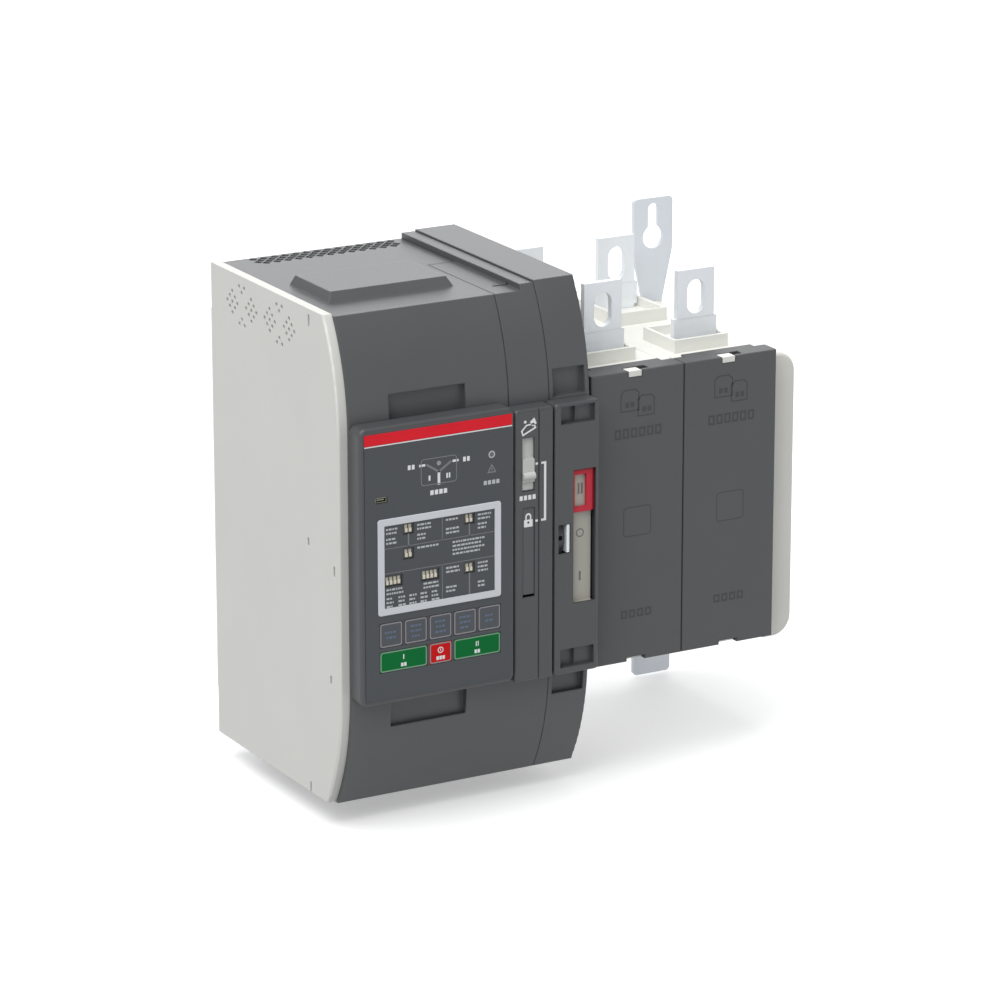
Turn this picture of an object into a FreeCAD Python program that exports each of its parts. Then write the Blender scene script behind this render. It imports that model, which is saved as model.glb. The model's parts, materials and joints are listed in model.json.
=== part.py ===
import FreeCAD, Part
import math
import os
import re
import Sketcher

# Automatic transfer switch: a motor mechanism case with its control panel, and two switching
# poles beside it that share one rotor shaft. Millimetres. While the pieces are built, X runs from
# the case's left face, Y is 0 on the mounting plane and negative towards the front, and Z runs up
# from the case's bottom. Each finished piece is then shifted by its Placement, so that the origin
# is on the mounting plane at the middle of the case's back.

Vector = FreeCAD.Vector
Rotation = FreeCAD.Rotation

SIZES = {
    # case
    "case_wide": 166.4,
    "case_tall": 300.0,
    "case_front": 168.0,
    "curve_radius": 140.0,
    "curve_start": 70.0,
    "wall": 2.6,
    "back_gap": 3.0,
    "side_thick": 6.0,
    "side_inset": 2.0,
    "left_top": 297.5,
    "ridge_top": 301.0,
    "right_top": 302.0,
    "left_seam": 111.3,
    "ridge_left": 129.5,
    "lower_joint": 90.0,
    "right_seam": 139.0,
    "seam_gap": 0.4,
    "flap_front": 70.0,
    "grip_tall": 16.2,
    "grip_deep": 5.0,
    "vent_radius": 1.3,
    "vent_step": 3.3,
    "mesh_pitch": 7.2,
    "mesh_hole": 4.2,
    # mounting
    "fixing_wide": 130.0,
    "fixing_tall": 220.0,
    "fixing_radius": 2.5,
    "boss_radius": 8.0,
    "boss_deep": 14.0,
    "bracket_thick": 3.0,
    "keyhole_radius": 7.5,
    "keyhole_slot": 3.85,
    "keyhole_height": 276.9,
    "bracket_middle": 309.2,
    "bracket_wide": 28.2,
    "tab_middle": 311.0,
    "tab_wide": 26.9,
    "tab_hole": 3.85,
    # control panel on the front
    "panel_back": 168.3,
    "panel_front": 180.8,
    "panel_left": 5.8,
    "panel_right": 108.4,
    "panel_low": 68.5,
    "panel_high": 237.0,
    "panel_wall": 2.2,
    "film": 0.5,
    "film_left": 8.9,
    "film_right": 106.2,
    "film_low": 71.8,
    "film_high": 233.3,
    "stripe_low": 226.8,
    "label_left": 17.0,
    "label_right": 98.6,
    "label_low": 123.4,
    "label_high": 181.8,
    "label_border": 4.2,
    "key_size": 14.6,
    "key_pitch": 16.35,
    "key_left": 18.2,
    "key_low": 103.8,
    "switch_key_low": 88.6,
    "switch_key_tall": 12.4,
    "key_gap": 0.3,
    "key_travel": 0.6,
    "dip_pitch": 2.54,
    "dip_lever_wide": 1.6,
    "dip_lever_tall": 2.3,
    "dip_travel": 2.0,
    "dip_slot_tall": 4.9,
    # slider panel and handle panel
    "strip_left": 109.0,
    "strip_right": 135.2,
    "strip_low": 66.5,
    "strip_high": 234.0,
    "strip_front": 180.0,
    "strip_wall": 1.6,
    "handle_left": 136.0,
    "mode_left": 113.8,
    "mode_right": 122.1,
    "mode_low": 184.3,
    "mode_high": 216.7,
    "mode_travel": 12.0,
    "lock_left": 114.2,
    "lock_right": 122.3,
    "lock_low": 119.0,
    "lock_high": 174.0,
    "lock_travel": 14.0,
    "lock_hole": 3.5,
    "window_left": 148.6,
    "window_right": 163.9,
    "window_low": 110.2,
    "window_high": 192.4,
    "slot_left": 138.5,
    "slot_right": 146.6,
    # drive
    "axis_high": 151.0,
    "handle_back": 160.4,
    "sector_back": 136.0,
    "rotor_back": 75.0,
    "pivot_radius": 4.0,
    "shaft_radius": 8.0,
    "running_gap": 0.05,
    "crank_radius": 14.0,
    "crank_pin": 2.5,
    "crank_left": 125.0,
    "crank_thick": 4.0,
    "core_radius": 17.0,
    "gear_module": 1.5,
    "sector_teeth": 46.0,
    "pinion_teeth": 20.0,
    "backlash": 0.3,
    "coil_radius": 19.0,
    "coil_bore": 9.7,
    "coil_tall": 60.0,
    "armature": 9.2,
    "rod_middle": 143.0,
    # poles
    "pole_start": 166.8,
    "cover_start": 170.2,
    "pole_first": 202.8,
    "pole_pitch": 65.4,
    "pole_split": 235.0,
    "pole_end": 303.9,
    "cover_end": 300.0,
    "pole_low": 60.0,
    "pole_high": 238.0,
    "pole_wall": 3.0,
    "pole_front": 145.0,
    "cover_front": 163.0,
    "cover_wall": 2.4,
    "cover_low": 60.5,
    "cover_high": 242.3,
    "collar_tall": 8.0,
    "collar_wall": 2.4,
    "lug_wide": 26.0,
    "shoulder_wide": 30.2,
    "shoulder_high": 256.7,
    "lug_top": 287.0,
    "lug_thick": 4.0,
    "pad_step": 0.2,
    "front_lug": 121.0,
    "rear_lug": 27.0,
    "lug_slot_wide": 12.1,
    "lug_slot_tall": 21.3,
    "lug_slot_high": 269.9,
    "load_lug": 83.0,
    "load_slot_high": 47.5,
    "load_low": 32.5,
    "blade_thick": 6.0,
    "blade_wide": 16.0,
    "blade_reach": 52.0,
    "blade_disc": 14.0,
    "jaw_gap": 0.35,
    "jaw_thick": 3.2,
    "drum_radius": 16.0,
    "tie_radius": 2.5,
    "socket_radius": 2.9,
    "cap_right": 323.4,
    "cap_front": 148.0,
    "cap_low": 53.6,
    "cap_high": 235.2,
}

DIP_BLOCKS = {  # name: (middle across, middle up, levers)
    "a": (37.3, 174.0, 2),
    "b": (77.6, 174.0, 2),
    "c": (37.3, 158.9, 2),
    "d": (77.6, 144.0, 2),
    "e": (27.2, 143.8, 4),
    "f": (51.4, 143.8, 4),
}
TIE_PLACES = [(14, 75), (14, 225), (135, 75), (135, 225)]  # back from the mounting plane, height
PRESSURE_ANGLE = math.radians(20)

DOC = FreeCAD.newDocument("transfer_switch")
SHEET = DOC.addObject("Spreadsheet::Sheet", "Sizes")
NODES = []


def fill_sheet():
    for row, (alias, value) in enumerate(SIZES.items(), start=1):
        SHEET.set("A%d" % row, alias.replace("_", " "))
        SHEET.set("B%d" % row, str(value))
        SHEET.setAlias("B%d" % row, alias)
    DOC.recompute()


def size(alias):
    """A driving dimension, read back from the sheet."""
    return float(SHEET.get(alias))


def with_names(text, name_for):
    pattern = r"[A-Za-z_]\w*"
    return re.sub(pattern, lambda m: name_for(m.group(0)) if m.group(0) in SIZES else m.group(0), text)


def bound(value):
    """An expression in which each sheet name points at the sheet."""
    return with_names(str(value), lambda alias: "Sizes." + alias)


def number(value):
    """The present value of such an expression."""
    return FreeCAD.Units.Quantity(with_names(str(value), lambda alias: "(%r)" % size(alias))).Value


def bind(piece, prop, value):
    piece.setExpression(prop, bound(value))


# ---- primitives ------------------------------------------------------------------------------

def block(name, x, y, z):
    """A box between two expressions on each axis. Y is given as depths behind the front (-Y)."""
    piece = DOC.addObject("Part::Box", name)
    for axis, side, (low, high) in zip("xyz", ("Length", "Width", "Height"), (x, y, z)):
        bind(piece, "Placement.Base." + axis, low)
        bind(piece, side, "(%s) - (%s)" % (high, low))
    return piece


def front(depth):
    """The Y expression of a depth in front of the mounting plane."""
    return "-(%s)" % depth


def layer(deep, shallow):
    """The Y span between two depths in front of the mounting plane."""
    return (front(deep), front(shallow))


TURN_TO = {
    "x": Rotation(Vector(0, 1, 0), 90),
    "y": Rotation(Vector(1, 0, 0), -90),
    "z": Rotation(),
}


def rod(name, axis, at, span, radius, angle=360, begin=0):
    """A cylinder along an axis. 'at' holds its other two coordinates in X, Y, Z order."""
    piece = DOC.addObject("Part::Cylinder", name)
    turn = TURN_TO[axis].multiply(Rotation(Vector(0, 0, 1), begin))
    piece.Placement = FreeCAD.Placement(Vector(), turn)
    places = list(at)
    places.insert("xyz".index(axis), span[0])
    for letter, value in zip("xyz", places):
        bind(piece, "Placement.Base." + letter, value)
    bind(piece, "Height", "(%s) - (%s)" % (span[1], span[0]))
    bind(piece, "Radius", radius)
    piece.Angle = angle
    return piece


def fuse(name, pieces):
    result = DOC.addObject("Part::MultiFuse", name)
    result.Shapes = pieces
    return result


def group(name, pieces):
    result = DOC.addObject("Part::Compound", name)
    result.Links = pieces
    return result


def cut(name, base, tools):
    tool = tools[0] if len(tools) == 1 else group(name + "_tools", tools)
    result = DOC.addObject("Part::Cut", name)
    result.Base = base
    result.Tool = tool
    return result


def turned(name, piece, angle, y, z):
    """A piece built about the X axis, turned about it and carried to (y, z)."""
    result = group(name, [piece])
    result.Placement = FreeCAD.Placement(Vector(), Rotation(Vector(1, 0, 0), angle))
    bind(result, "Placement.Base.y", y)
    bind(result, "Placement.Base.z", z)
    return result


# ---- sketched bodies -------------------------------------------------------------------------

def new_sketch(body, name, plane, start):
    sketch = body.newObject("Sketcher::SketchObject", name)
    role = plane + "_Plane"
    sketch.AttachmentSupport = [(next(f for f in body.Origin.OriginFeatures if f.Role == role), "")]
    sketch.MapMode = "FlatFace"
    bind(sketch, "AttachmentOffset.Base.z", start)
    return sketch


def outline(sketch, path):
    """A closed outline. Each entry is (u, v), or (u, v, centre u, centre v) where an arc about that
    centre leads on to the next entry. Every corner is bound to the sheet."""
    ends = []
    points = [Vector(number(entry[0]), number(entry[1]), 0) for entry in path]
    for index, entry in enumerate(path):
        here = points[index]
        there = points[(index + 1) % len(path)]
        if len(entry) == 2:
            sketch.addGeometry(Part.LineSegment(here, there))
            ends.append((1, 2))
            continue
        centre = Vector(number(entry[2]), number(entry[3]), 0)
        angles = [math.atan2(p.y - centre.y, p.x - centre.x) for p in (here, there)]
        sweep = (angles[1] - angles[0] + math.pi) % math.tau - math.pi
        forward = sweep > 0
        begin, stop = angles if forward else angles[::-1]
        circle = Part.Circle(centre, Vector(0, 0, 1), here.distanceToPoint(centre))
        sketch.addGeometry(Part.ArcOfCircle(circle, begin, stop))
        ends.append((1, 2) if forward else (2, 1))
        radius = sketch.addConstraint(Sketcher.Constraint("Radius", index, circle.Radius))
        reach = "sqrt(((%s) - (%s))^2 + ((%s) - (%s))^2)" % (entry[0], entry[2], entry[1], entry[3])
        sketch.setExpression("Constraints[%d]" % radius, bound(reach))
    for index in range(len(path)):
        after = (index + 1) % len(path)
        sketch.addConstraint(
            Sketcher.Constraint("Coincident", index, ends[index][1], after, ends[after][0])
        )
    for index, entry in enumerate(path):
        for kind, text in (("DistanceX", entry[0]), ("DistanceY", entry[1])):
            constraint = Sketcher.Constraint(kind, -1, 1, index, ends[index][0], number(text))
            place = sketch.addConstraint(constraint)
            sketch.setExpression("Constraints[%d]" % place, bound(text))


def padded(name, plane, start, long, path):
    """A body padded along the plane's normal: XZ pads to the front, YZ to the right."""
    body = DOC.addObject("PartDesign::Body", name)
    sketch = new_sketch(body, name + "_outline", plane, start)
    outline(sketch, path)
    pad = body.newObject("PartDesign::Pad", name + "_pad")
    pad.Profile = sketch
    bind(pad, "Length", long)
    return body, pad


def rounded(body, base, name, radius, wanted):
    """Fillets the edges of base that 'wanted' picks."""
    DOC.recompute()
    picked = ["Edge%d" % i for i, edge in enumerate(base.Shape.Edges, start=1) if wanted(edge)]
    fillet = body.newObject("PartDesign::Fillet", name)
    fillet.Base = (base, picked)
    bind(fillet, "Radius", radius)
    return fillet


def runs_along(edge, axis):
    direction = edge.Vertexes[-1].Point - edge.Vertexes[0].Point
    return len(edge.Vertexes) == 2 and abs(abs(direction.normalize().dot(axis)) - 1) < 1e-6


def rectangle(u, v):
    return [(u[0], v[0]), (u[1], v[0]), (u[1], v[1]), (u[0], v[1])]


def soft_block(name, x, depths, z, corner, rim):
    """A block facing the front with rounded corners and a rounded front rim."""
    body, pad = padded(name, "XZ", depths[0], "(%s) - (%s)" % (depths[1], depths[0]), rectangle(x, z))
    corners = rounded(body, pad, name + "_corners", corner, lambda e: runs_along(e, Vector(0, 1, 0)))
    face = -number(depths[1])
    rounded(body, corners, name + "_rim", rim, lambda e: abs(e.BoundBox.YMax - face) < 1e-4)
    return body


def case_section(inset, low, high, back):
    """The case's side section, offset inwards: flat in the middle, rounded over above and below."""
    middle = "-(case_front - curve_radius)"
    radius = "(curve_radius - (%s))" % inset
    bend_low = "curve_start"
    bend_high = "case_tall - curve_start"
    at_low = "%s - sqrt(%s^2 - (curve_start - (%s))^2)" % (middle, radius, low)
    at_high = "%s - sqrt(%s^2 - ((%s) - (case_tall - curve_start))^2)" % (middle, radius, high)
    flat = "%s - %s" % (middle, radius)
    return [
        (back, low),
        (at_low, low, middle, bend_low),
        (flat, bend_low),
        (flat, bend_high, middle, bend_high),
        (at_high, high),
        (back, high),
    ]


def case_slice(name, x, inset, low, high, back="-back_gap"):
    section = case_section(inset, low, high, back)
    return padded(name, "YZ", x[0], "(%s) - (%s)" % (x[1], x[0]), section)


# ---- finishing -------------------------------------------------------------------------------

def seat(node, piece):
    """Names a finished sub-part and shifts it so that the origin is behind the case's middle."""
    seated = group("seated_" + node, [piece])
    seated.Label = node
    bind(seated, "Placement.Base.x", "-case_wide / 2")
    bind(seated, "Placement.Base.z", "-case_tall / 2")
    NODES.append((node, seated))


# ---- case ------------------------------------------------------------------------------------

def side_vents():
    """Two four-leaf groups of small holes near the top of the left side."""
    step = size("vent_step")
    spots = []
    for leaf in (-12.5, 12.5):
        spots += [(leaf + (i - k) * step, (i + k) * step) for i in (-1, 0, 1) for k in (-1, 0, 1)]
    for way in (1, -1):
        spots.append((0, way * 8.1))
        spots.append((-3.3, way * 11.4))
        spots.append((3.3, way * 11.4))
    holes = []
    for flower, middle in enumerate((-43.9, -92.9)):
        for index, (y, z) in enumerate(spots):
            holes.append(rod(
                "vent_%d_%d" % (flower, index), "x", ("%r" % (middle + y), "%r" % (280.3 + z)),
                ("-1", "side_thick + 1"), "vent_radius",
            ))
    return holes


def left_side_panel():
    body, pad = case_slice("side_plate", ("0", "side_thick"), "side_inset", "1", "left_top + 1")
    rounded(body, pad, "side_plate_rim", "1.4",
            lambda e: e.BoundBox.XMax < 1e-6 and e.BoundBox.YMax < -100)
    snaps = [(130.5, 291.5, 7), (127, 157, 5), (159.5, 147.5, 6), (154, 79.5, 5), (126.6, 4, 7)]
    slots = []
    for index, (depth, middle, tall) in enumerate(snaps):
        half = tall / 2
        slots.append(block(
            "snap_%d" % index, ("-1", "side_thick / 2"), layer(depth + 1, depth - 1),
            ("%r" % (middle - half), "%r" % (middle + half)),
        ))
    seat("left_side_panel", cut("side_panel", body, side_vents() + slots))


def grip(name, x, low, high):
    """The block behind a finger recess, and the recess itself."""
    deep = "case_front - grip_deep"
    backing = block(name + "_backing", ("%s - 2" % x[0], "%s + 2" % x[1]),
                    layer("case_front - 2.6", deep + " - 2.4"), ("%s - 2.4" % low, "%s + 2.4" % high))
    recess = block(name + "_recess", x, layer("case_front + 9", deep), (low, high))
    return backing, recess


def mesh_holes():
    """Square holes standing on their corners, in staggered rows across the rear of the top."""
    holes = []
    half = size("mesh_hole") / math.sqrt(2)
    for row in range(4):
        columns = 14 if row % 2 == 0 else 13
        for column in range(columns):
            across = 26.4 + (column + 0.5 * (row % 2)) * size("mesh_pitch")
            behind = 6.9 + row * size("mesh_pitch") / 2
            hole = block("mesh_%d_%d" % (row, column), ("0", "mesh_hole"), ("0", "mesh_hole"),
                         ("left_top - 6", "left_top + 1"))
            hole.Placement = FreeCAD.Placement(Vector(), Rotation(Vector(0, 0, 1), 45))
            bind(hole, "Placement.Base.x", "%r" % across)
            bind(hole, "Placement.Base.y", "%r" % (-behind - half))
            bind(hole, "Placement.Base.z", "left_top - 6")
            holes.append(hole)
    return holes


def top_bump():
    bump = DOC.addObject("Part::Wedge", "top_bump")
    bump.Placement = FreeCAD.Placement(Vector(), Rotation(Vector(1, 0, 0), 90))
    spans = {
        "Xmin": "0", "Xmax": "83.6", "X2min": "4", "X2max": "80.4",
        "Zmin": "0", "Zmax": "50.5", "Z2min": "0.8", "Z2max": "45.5",
        "Ymin": "0", "Ymax": "6.5",
    }
    for prop, value in spans.items():
        bind(bump, prop, value)
    bind(bump, "Placement.Base.x", "17")
    bind(bump, "Placement.Base.y", "-flap_front - 2")
    bind(bump, "Placement.Base.z", "left_top - 1")
    return bump


def left_foot():
    """The left cover runs on below the strips, as far as the right cover."""
    outer, _ = case_slice("foot_shell", ("left_seam - 1", "right_seam - seam_gap"), "0", "0", "left_top")
    inner, _ = case_slice("foot_hollow", ("left_seam - 2", "right_seam + 1"), "wall", "wall",
                          "left_top - wall", "5")
    above = block("foot_above", ("left_seam - 2", "right_seam + 1"), layer("case_front + 1", "-10"),
                  ("lower_joint", "left_top + 1"))
    return cut("foot", outer, [inner, above])


def left_cover():
    outer, _ = case_slice("left_shell", ("side_thick", "left_seam"), "0", "0", "left_top")
    inner, _ = case_slice("left_hollow", ("side_thick - 1", "left_seam + 1"), "wall", "wall",
                          "left_top - wall", "5")
    rear = block("left_rear_top", ("left_seam - 1", "ridge_left - seam_gap"),
                 ("-flap_front", "-back_gap"), ("left_top - wall", "left_top"))
    x = ("32.6", "83")
    high_backing, high_recess = grip("high_grip", x, "233", "233 + grip_tall + 2")
    low_backing, low_recess = grip("low_grip", x, "case_tall - 251.2", "71")
    shell = cut("left_open", outer, [inner])
    solid = fuse("left_solid", [shell, rear, left_foot(), top_bump(), high_backing, low_backing])
    seat("left_cover", cut("left_cover_cut", solid, [high_recess, low_recess] + mesh_holes()))


def centre_cover():
    strip, _ = case_slice("strip_shell", ("left_seam + seam_gap", "ridge_left"), "0", "0", "left_top")
    ridge, _ = case_slice("ridge_shell", ("ridge_left", "right_seam - seam_gap"), "0", "0", "ridge_top")
    inner, _ = case_slice("strip_hollow", ("left_seam - 1", "right_seam + 1"), "wall", "wall",
                          "left_top - wall", "5")
    rear = block("strip_rear", ("left_seam - 2", "ridge_left"), ("-flap_front - seam_gap", "6"),
                 ("left_top - 12", "left_top + 1"))
    window = block("strip_window", ("113.2", "right_seam + 1"), layer("case_front + 3", "case_front - 8"),
                   ("105", "197"))
    latch = block("latch_slot", ("120", "130"), layer("135", "133"), ("left_top - 8", "left_top + 1"))
    lower = block("strip_lower", ("left_seam - 2", "right_seam + 1"), layer("case_front + 1", "-10"),
                  ("-1", "lower_joint + seam_gap"))
    shell = cut("strip_open", fuse("strip_outer", [strip, ridge]), [inner, rear, window, latch, lower])
    seat("centre_cover", shell)


def tie_holes(name, x, radius):
    return [
        rod("%s_tie_%d" % (name, i), "x", (front(back), "%r" % high), x, radius)
        for i, (back, high) in enumerate(TIE_PLACES)
    ]


def shaft_hole(name, x, depth="rotor_back", radius="shaft_radius"):
    return rod(name, "x", (front(depth), "axis_high"), x, radius + " + running_gap")


def right_cover():
    body, pad = case_slice("right_shell", ("right_seam", "case_wide"), "0", "0", "right_top")
    right = size("case_wide")
    rounded(body, pad, "right_shell_edge", "1.2",
            lambda e: e.BoundBox.XMin > right - 1e-6 and e.BoundBox.YMax < -100)
    inner, _ = case_slice("right_hollow", ("right_seam - 1", "case_wide - wall"), "wall", "wall",
                          "right_top - wall", "5")
    window = block("right_window", ("right_seam - 1", "case_wide - wall"),
                   layer("case_front + 3", "case_front - 8"), ("84", "217"))
    x = ("141.7", "163.2")
    high_backing, high_recess = grip("right_high_grip", x, "235", "case_tall - 48.3")
    low_backing, low_recess = grip("right_low_grip", x, "50.6", "67")
    shell = cut("right_open", body, [inner])
    solid = fuse("right_solid", [shell, high_backing, low_backing])
    hole = shaft_hole("right_bearing", ("case_wide - 6", "case_wide + 1"))
    ties = tie_holes("right", ("case_wide - 6", "case_wide + 1"), "tie_radius + 0.2")
    seat("right_cover", cut("right_cover_cut", solid, [high_recess, low_recess, window, hole] + ties))


def fixing_places():
    for column in (-1, 1):
        for row in (-1, 1):
            x = "case_wide / 2 + (%d) * fixing_wide / 2" % column
            z = "case_tall / 2 + (%d) * fixing_tall / 2" % row
            yield "%d%d" % (column + 1, row + 1), x, z


def back_frame():
    plate = block("back_plate", ("side_thick + 0.4", "case_wide - wall - 0.4"), layer("6", "2.9"),
                  ("3", "left_top - wall - 0.4"))
    strip = block("back_strip", ("1", "case_wide - 1"), layer("3", "0"), ("30", "270"))
    bosses = [rod("boss_" + tag, "y", (x, z), layer("boss_deep", "1"), "boss_radius")
              for tag, x, z in fixing_places()]
    bores = [rod("fixing_" + tag, "y", (x, z), layer("boss_deep + 1", "-1"), "fixing_radius")
             for tag, x, z in fixing_places()]
    seat("back_frame", cut("back_frame_cut", fuse("back_frame_solid", [plate, strip] + bosses), bores))


# ---- control panel ---------------------------------------------------------------------------

def key_spans():
    """The eight keys as (node, x span, z span)."""
    spans = []
    square = ("key_low", "key_low + key_size")
    bar = ("switch_key_low", "switch_key_low + switch_key_tall")

    def column(first, last):
        left = "key_left + %d * key_pitch" % first
        return left, "key_left + %d * key_pitch + key_size" % last

    for index, name in enumerate(("lamp_test", "source_one_test", "source_two_test", "engine", "auto")):
        spans.append(("key_" + name, column(index, index), square))
    spans.append(("key_one_on", column(0, 1), bar))
    spans.append(("key_off", column(2, 2), bar))
    spans.append(("key_two_on", column(3, 4), bar))
    return spans


def dip_window(name, grow):
    across, up, levers = DIP_BLOCKS[name]
    half = "(%d * dip_pitch / 2 + %s)" % (levers, grow)
    tall = "(dip_slot_tall / 2 + %s)" % grow
    return (("%r - %s" % (across, half), "%r + %s" % (across, half)),
            ("%r - %s" % (up, tall), "%r + %s" % (up, tall)))


def front_cutters(tag, deep, shallow):
    """Openings for the keys, the DIP switches and the USB port, between two depths."""
    cutters = []
    for node, x, z in key_spans():
        cutters.append(block(
            "%s_%s" % (tag, node), ("%s - key_gap" % x[0], "%s + key_gap" % x[1]),
            layer(deep, shallow), ("%s - key_gap" % z[0], "%s + key_gap" % z[1]),
        ))
    for name in DIP_BLOCKS:
        x, z = dip_window(name, "0.9")
        cutters.append(block("%s_dip_%s" % (tag, name), x, layer(deep, shallow), z))
    cutters.append(block(tag + "_usb", ("16", "23.8"), layer(deep, shallow), ("191.6", "195.2")))
    return cutters


def panel_housing():
    body = soft_block("panel_block", ("panel_left", "panel_right"), ("panel_back", "panel_front"),
                      ("panel_low", "panel_high"), "4.6", "2.4")
    hollow = block("panel_hollow", ("panel_left + panel_wall", "panel_right - panel_wall"),
                   layer("panel_front - panel_wall", "panel_back - 1"),
                   ("panel_low + panel_wall", "panel_high - panel_wall"))
    cutters = front_cutters("housing", "panel_front + 1", "panel_front - 6")
    shell = cut("panel_housing_cut", body, [hollow] + cutters)
    posts = [
        rod("panel_post_" + x + z, "y", (x, z), layer("panel_front - 2", "panel_front - 6.6"), "2.4")
        for x in ("16", "100") for z in ("79", "221")
    ]
    seat("panel_housing", fuse("panel_housing_solid", [shell] + posts))


def panel_film():
    sheet = block("film_sheet", ("film_left", "film_right"), layer("panel_front + film", "panel_front"),
                  ("film_low", "stripe_low - 0.3"))
    seat("panel_film", cut("film_cut", sheet, front_cutters("film", "panel_front + 2", "panel_front - 1")))


def accent_stripe():
    seat("accent_stripe", block("stripe", ("film_left", "film_right"),
                                layer("panel_front + film", "panel_front"), ("stripe_low", "film_high")))


def label_frame():
    outer = soft_block("label_outer", ("label_left", "label_right"),
                       ("panel_front + film", "panel_front + film + 0.6"), ("label_low", "label_high"),
                       "1.8", "0.3")
    inner = block("label_inner", ("label_left + label_border", "label_right - label_border"),
                  layer("panel_front + film + 2", "panel_front"),
                  ("label_low + label_border", "label_high - label_border"))
    seat("label_frame", cut("label_ring", outer, [inner]))


def usb_port():
    shell = block("usb_shell", ("16.3", "23.5"), layer("panel_front - 0.4", "panel_front - 5"),
                  ("191.9", "194.9"))
    mouth = block("usb_mouth", ("16.7", "23.1"), layer("panel_front + 1", "panel_front - 4.2"),
                  ("192.3", "194.5"))
    tongue = block("usb_tongue", ("17.6", "22.2"), layer("panel_front - 1.2", "panel_front - 5"),
                   ("193.1", "193.7"))
    seat("usb_port", fuse("usb_port_solid", [cut("usb_hollow", shell, [mouth]), tongue]))


def panel_board():
    seat("panel_board", block("panel_pcb", ("panel_left + 4", "panel_right - 4"),
                              layer("panel_front - 6.6", "panel_front - 8.2"),
                              ("panel_low + 5", "panel_high - 5")))


def dip_bodies():
    bodies = []
    for name, (across, up, levers) in DIP_BLOCKS.items():
        x, z = dip_window(name, "0.6")
        base = block("dip_body_" + name, x, layer("panel_front - 0.2", "panel_front - 6.6"), z)
        slots = [
            block("dip_slot_%s_%d" % (name, i), lever_span(across, levers, i, "0.25"),
                  layer("panel_front + 1", "panel_front - 0.6"),
                  ("%r - dip_slot_tall / 2" % up, "%r + dip_slot_tall / 2" % up))
            for i in range(levers)
        ]
        bodies.append(cut("dip_block_" + name, base, slots))
    seat("dip_bodies", group("dip_body_set", bodies))


def lever_span(across, levers, index, grow):
    middle = "%r + (%r) * dip_pitch" % (across, index - (levers - 1) / 2)
    half = "(dip_lever_wide / 2 + %s)" % grow
    return ("%s - %s" % (middle, half), "%s + %s" % (middle, half))


def dip_levers():
    for name, (across, up, levers) in DIP_BLOCKS.items():
        low = "%r - dip_slot_tall / 2 + 0.3" % up
        for index in range(levers):
            seat("dip_lever_%s%d" % (name, index + 1), block(
                "lever_%s%d" % (name, index + 1), lever_span(across, levers, index, "0"),
                layer("panel_front + 0.3", "panel_front - 0.5"), (low, low + " + dip_lever_tall"),
            ))


def keys():
    for node, x, z in key_spans():
        seat(node, block(node + "_block", x, layer("panel_front + film", "panel_front - 3.2"), z))


# ---- slider panel and handle panel -----------------------------------------------------------

def strip_shell(name, x, cutters):
    """A tall front strip: a shell open at the back with a rounded rim."""
    body = soft_block(name + "_block", x, ("panel_back", "strip_front"), ("strip_low", "strip_high"),
                      "2.2", "1.8")
    hollow = block(name + "_hollow", ("%s + strip_wall" % x[0], "%s - strip_wall" % x[1]),
                   layer("strip_front - strip_wall", "panel_back - 1"),
                   ("strip_low + strip_wall", "strip_high - strip_wall"))
    return cut(name + "_shell", body, [hollow] + cutters)


def slider_panel():
    cutters = [
        block("mode_slot", ("mode_left", "mode_right"), layer("strip_front + 1", "strip_front - 3"),
              ("mode_low", "mode_high")),
        block("lock_slot", ("lock_left", "lock_right"), layer("strip_front + 1", "strip_front - 3"),
              ("lock_low", "lock_high")),
        block("groove", ("124.6", "125.4"), layer("strip_front + 1", "strip_front - 0.7"),
              ("strip_low - 1", "strip_high + 1")),
    ]
    seat("slider_panel", strip_shell("slider", ("strip_left", "strip_right"), cutters))


def mode_slider():
    """A track plate behind the slot, with a two-rib thumb piece that stands out of it."""
    plate = block("mode_plate", ("mode_left - 1.4", "mode_right + 1.4"),
                  layer("strip_front - 1.8", "strip_front - 3.6"),
                  ("mode_low - mode_travel - 1", "mode_high + 1.4"))
    raised = block("mode_raised", ("mode_left + 0.2", "mode_right - 0.2"),
                   layer("strip_front - 1", "strip_front - 3"),
                   ("mode_low + 0.4", "mode_high - mode_travel - 0.4"))
    step = block("mode_step", ("mode_left + 0.2", "mode_right - 0.2"),
                 layer("strip_front + 0.4", "strip_front - 3"), ("mode_low + 5.4", "mode_low + 19.4"))
    thumb = rod("mode_thumb", "x", (front("strip_front"), "mode_low + 9.2"),
                ("mode_left + 0.2", "mode_right - 0.2"), "2.4")
    seat("mode_slider", fuse("mode_slider_solid", [plate, raised, step, thumb]))


def padlock_slide():
    face = block("lock_face", ("lock_left + 0.3", "lock_right - 0.3"),
                 layer("strip_front - 0.4", "strip_front - 1.7"), ("lock_low + 1.6", "lock_high - 0.3"))
    stem = block("lock_stem", ("lock_left + 0.5", "lock_left + 5.2"),
                 layer("strip_front - 1", "strip_front - 24"), ("lock_low + 8", "lock_high - 12"))
    hole = rod("lock_hole", "x", (front("strip_front - 8"), "lock_low + 24"),
               ("lock_left - 1", "lock_right + 1"), "lock_hole")
    seat("padlock_slide", cut("padlock_cut", fuse("padlock_solid", [face, stem]), [hole]))


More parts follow.
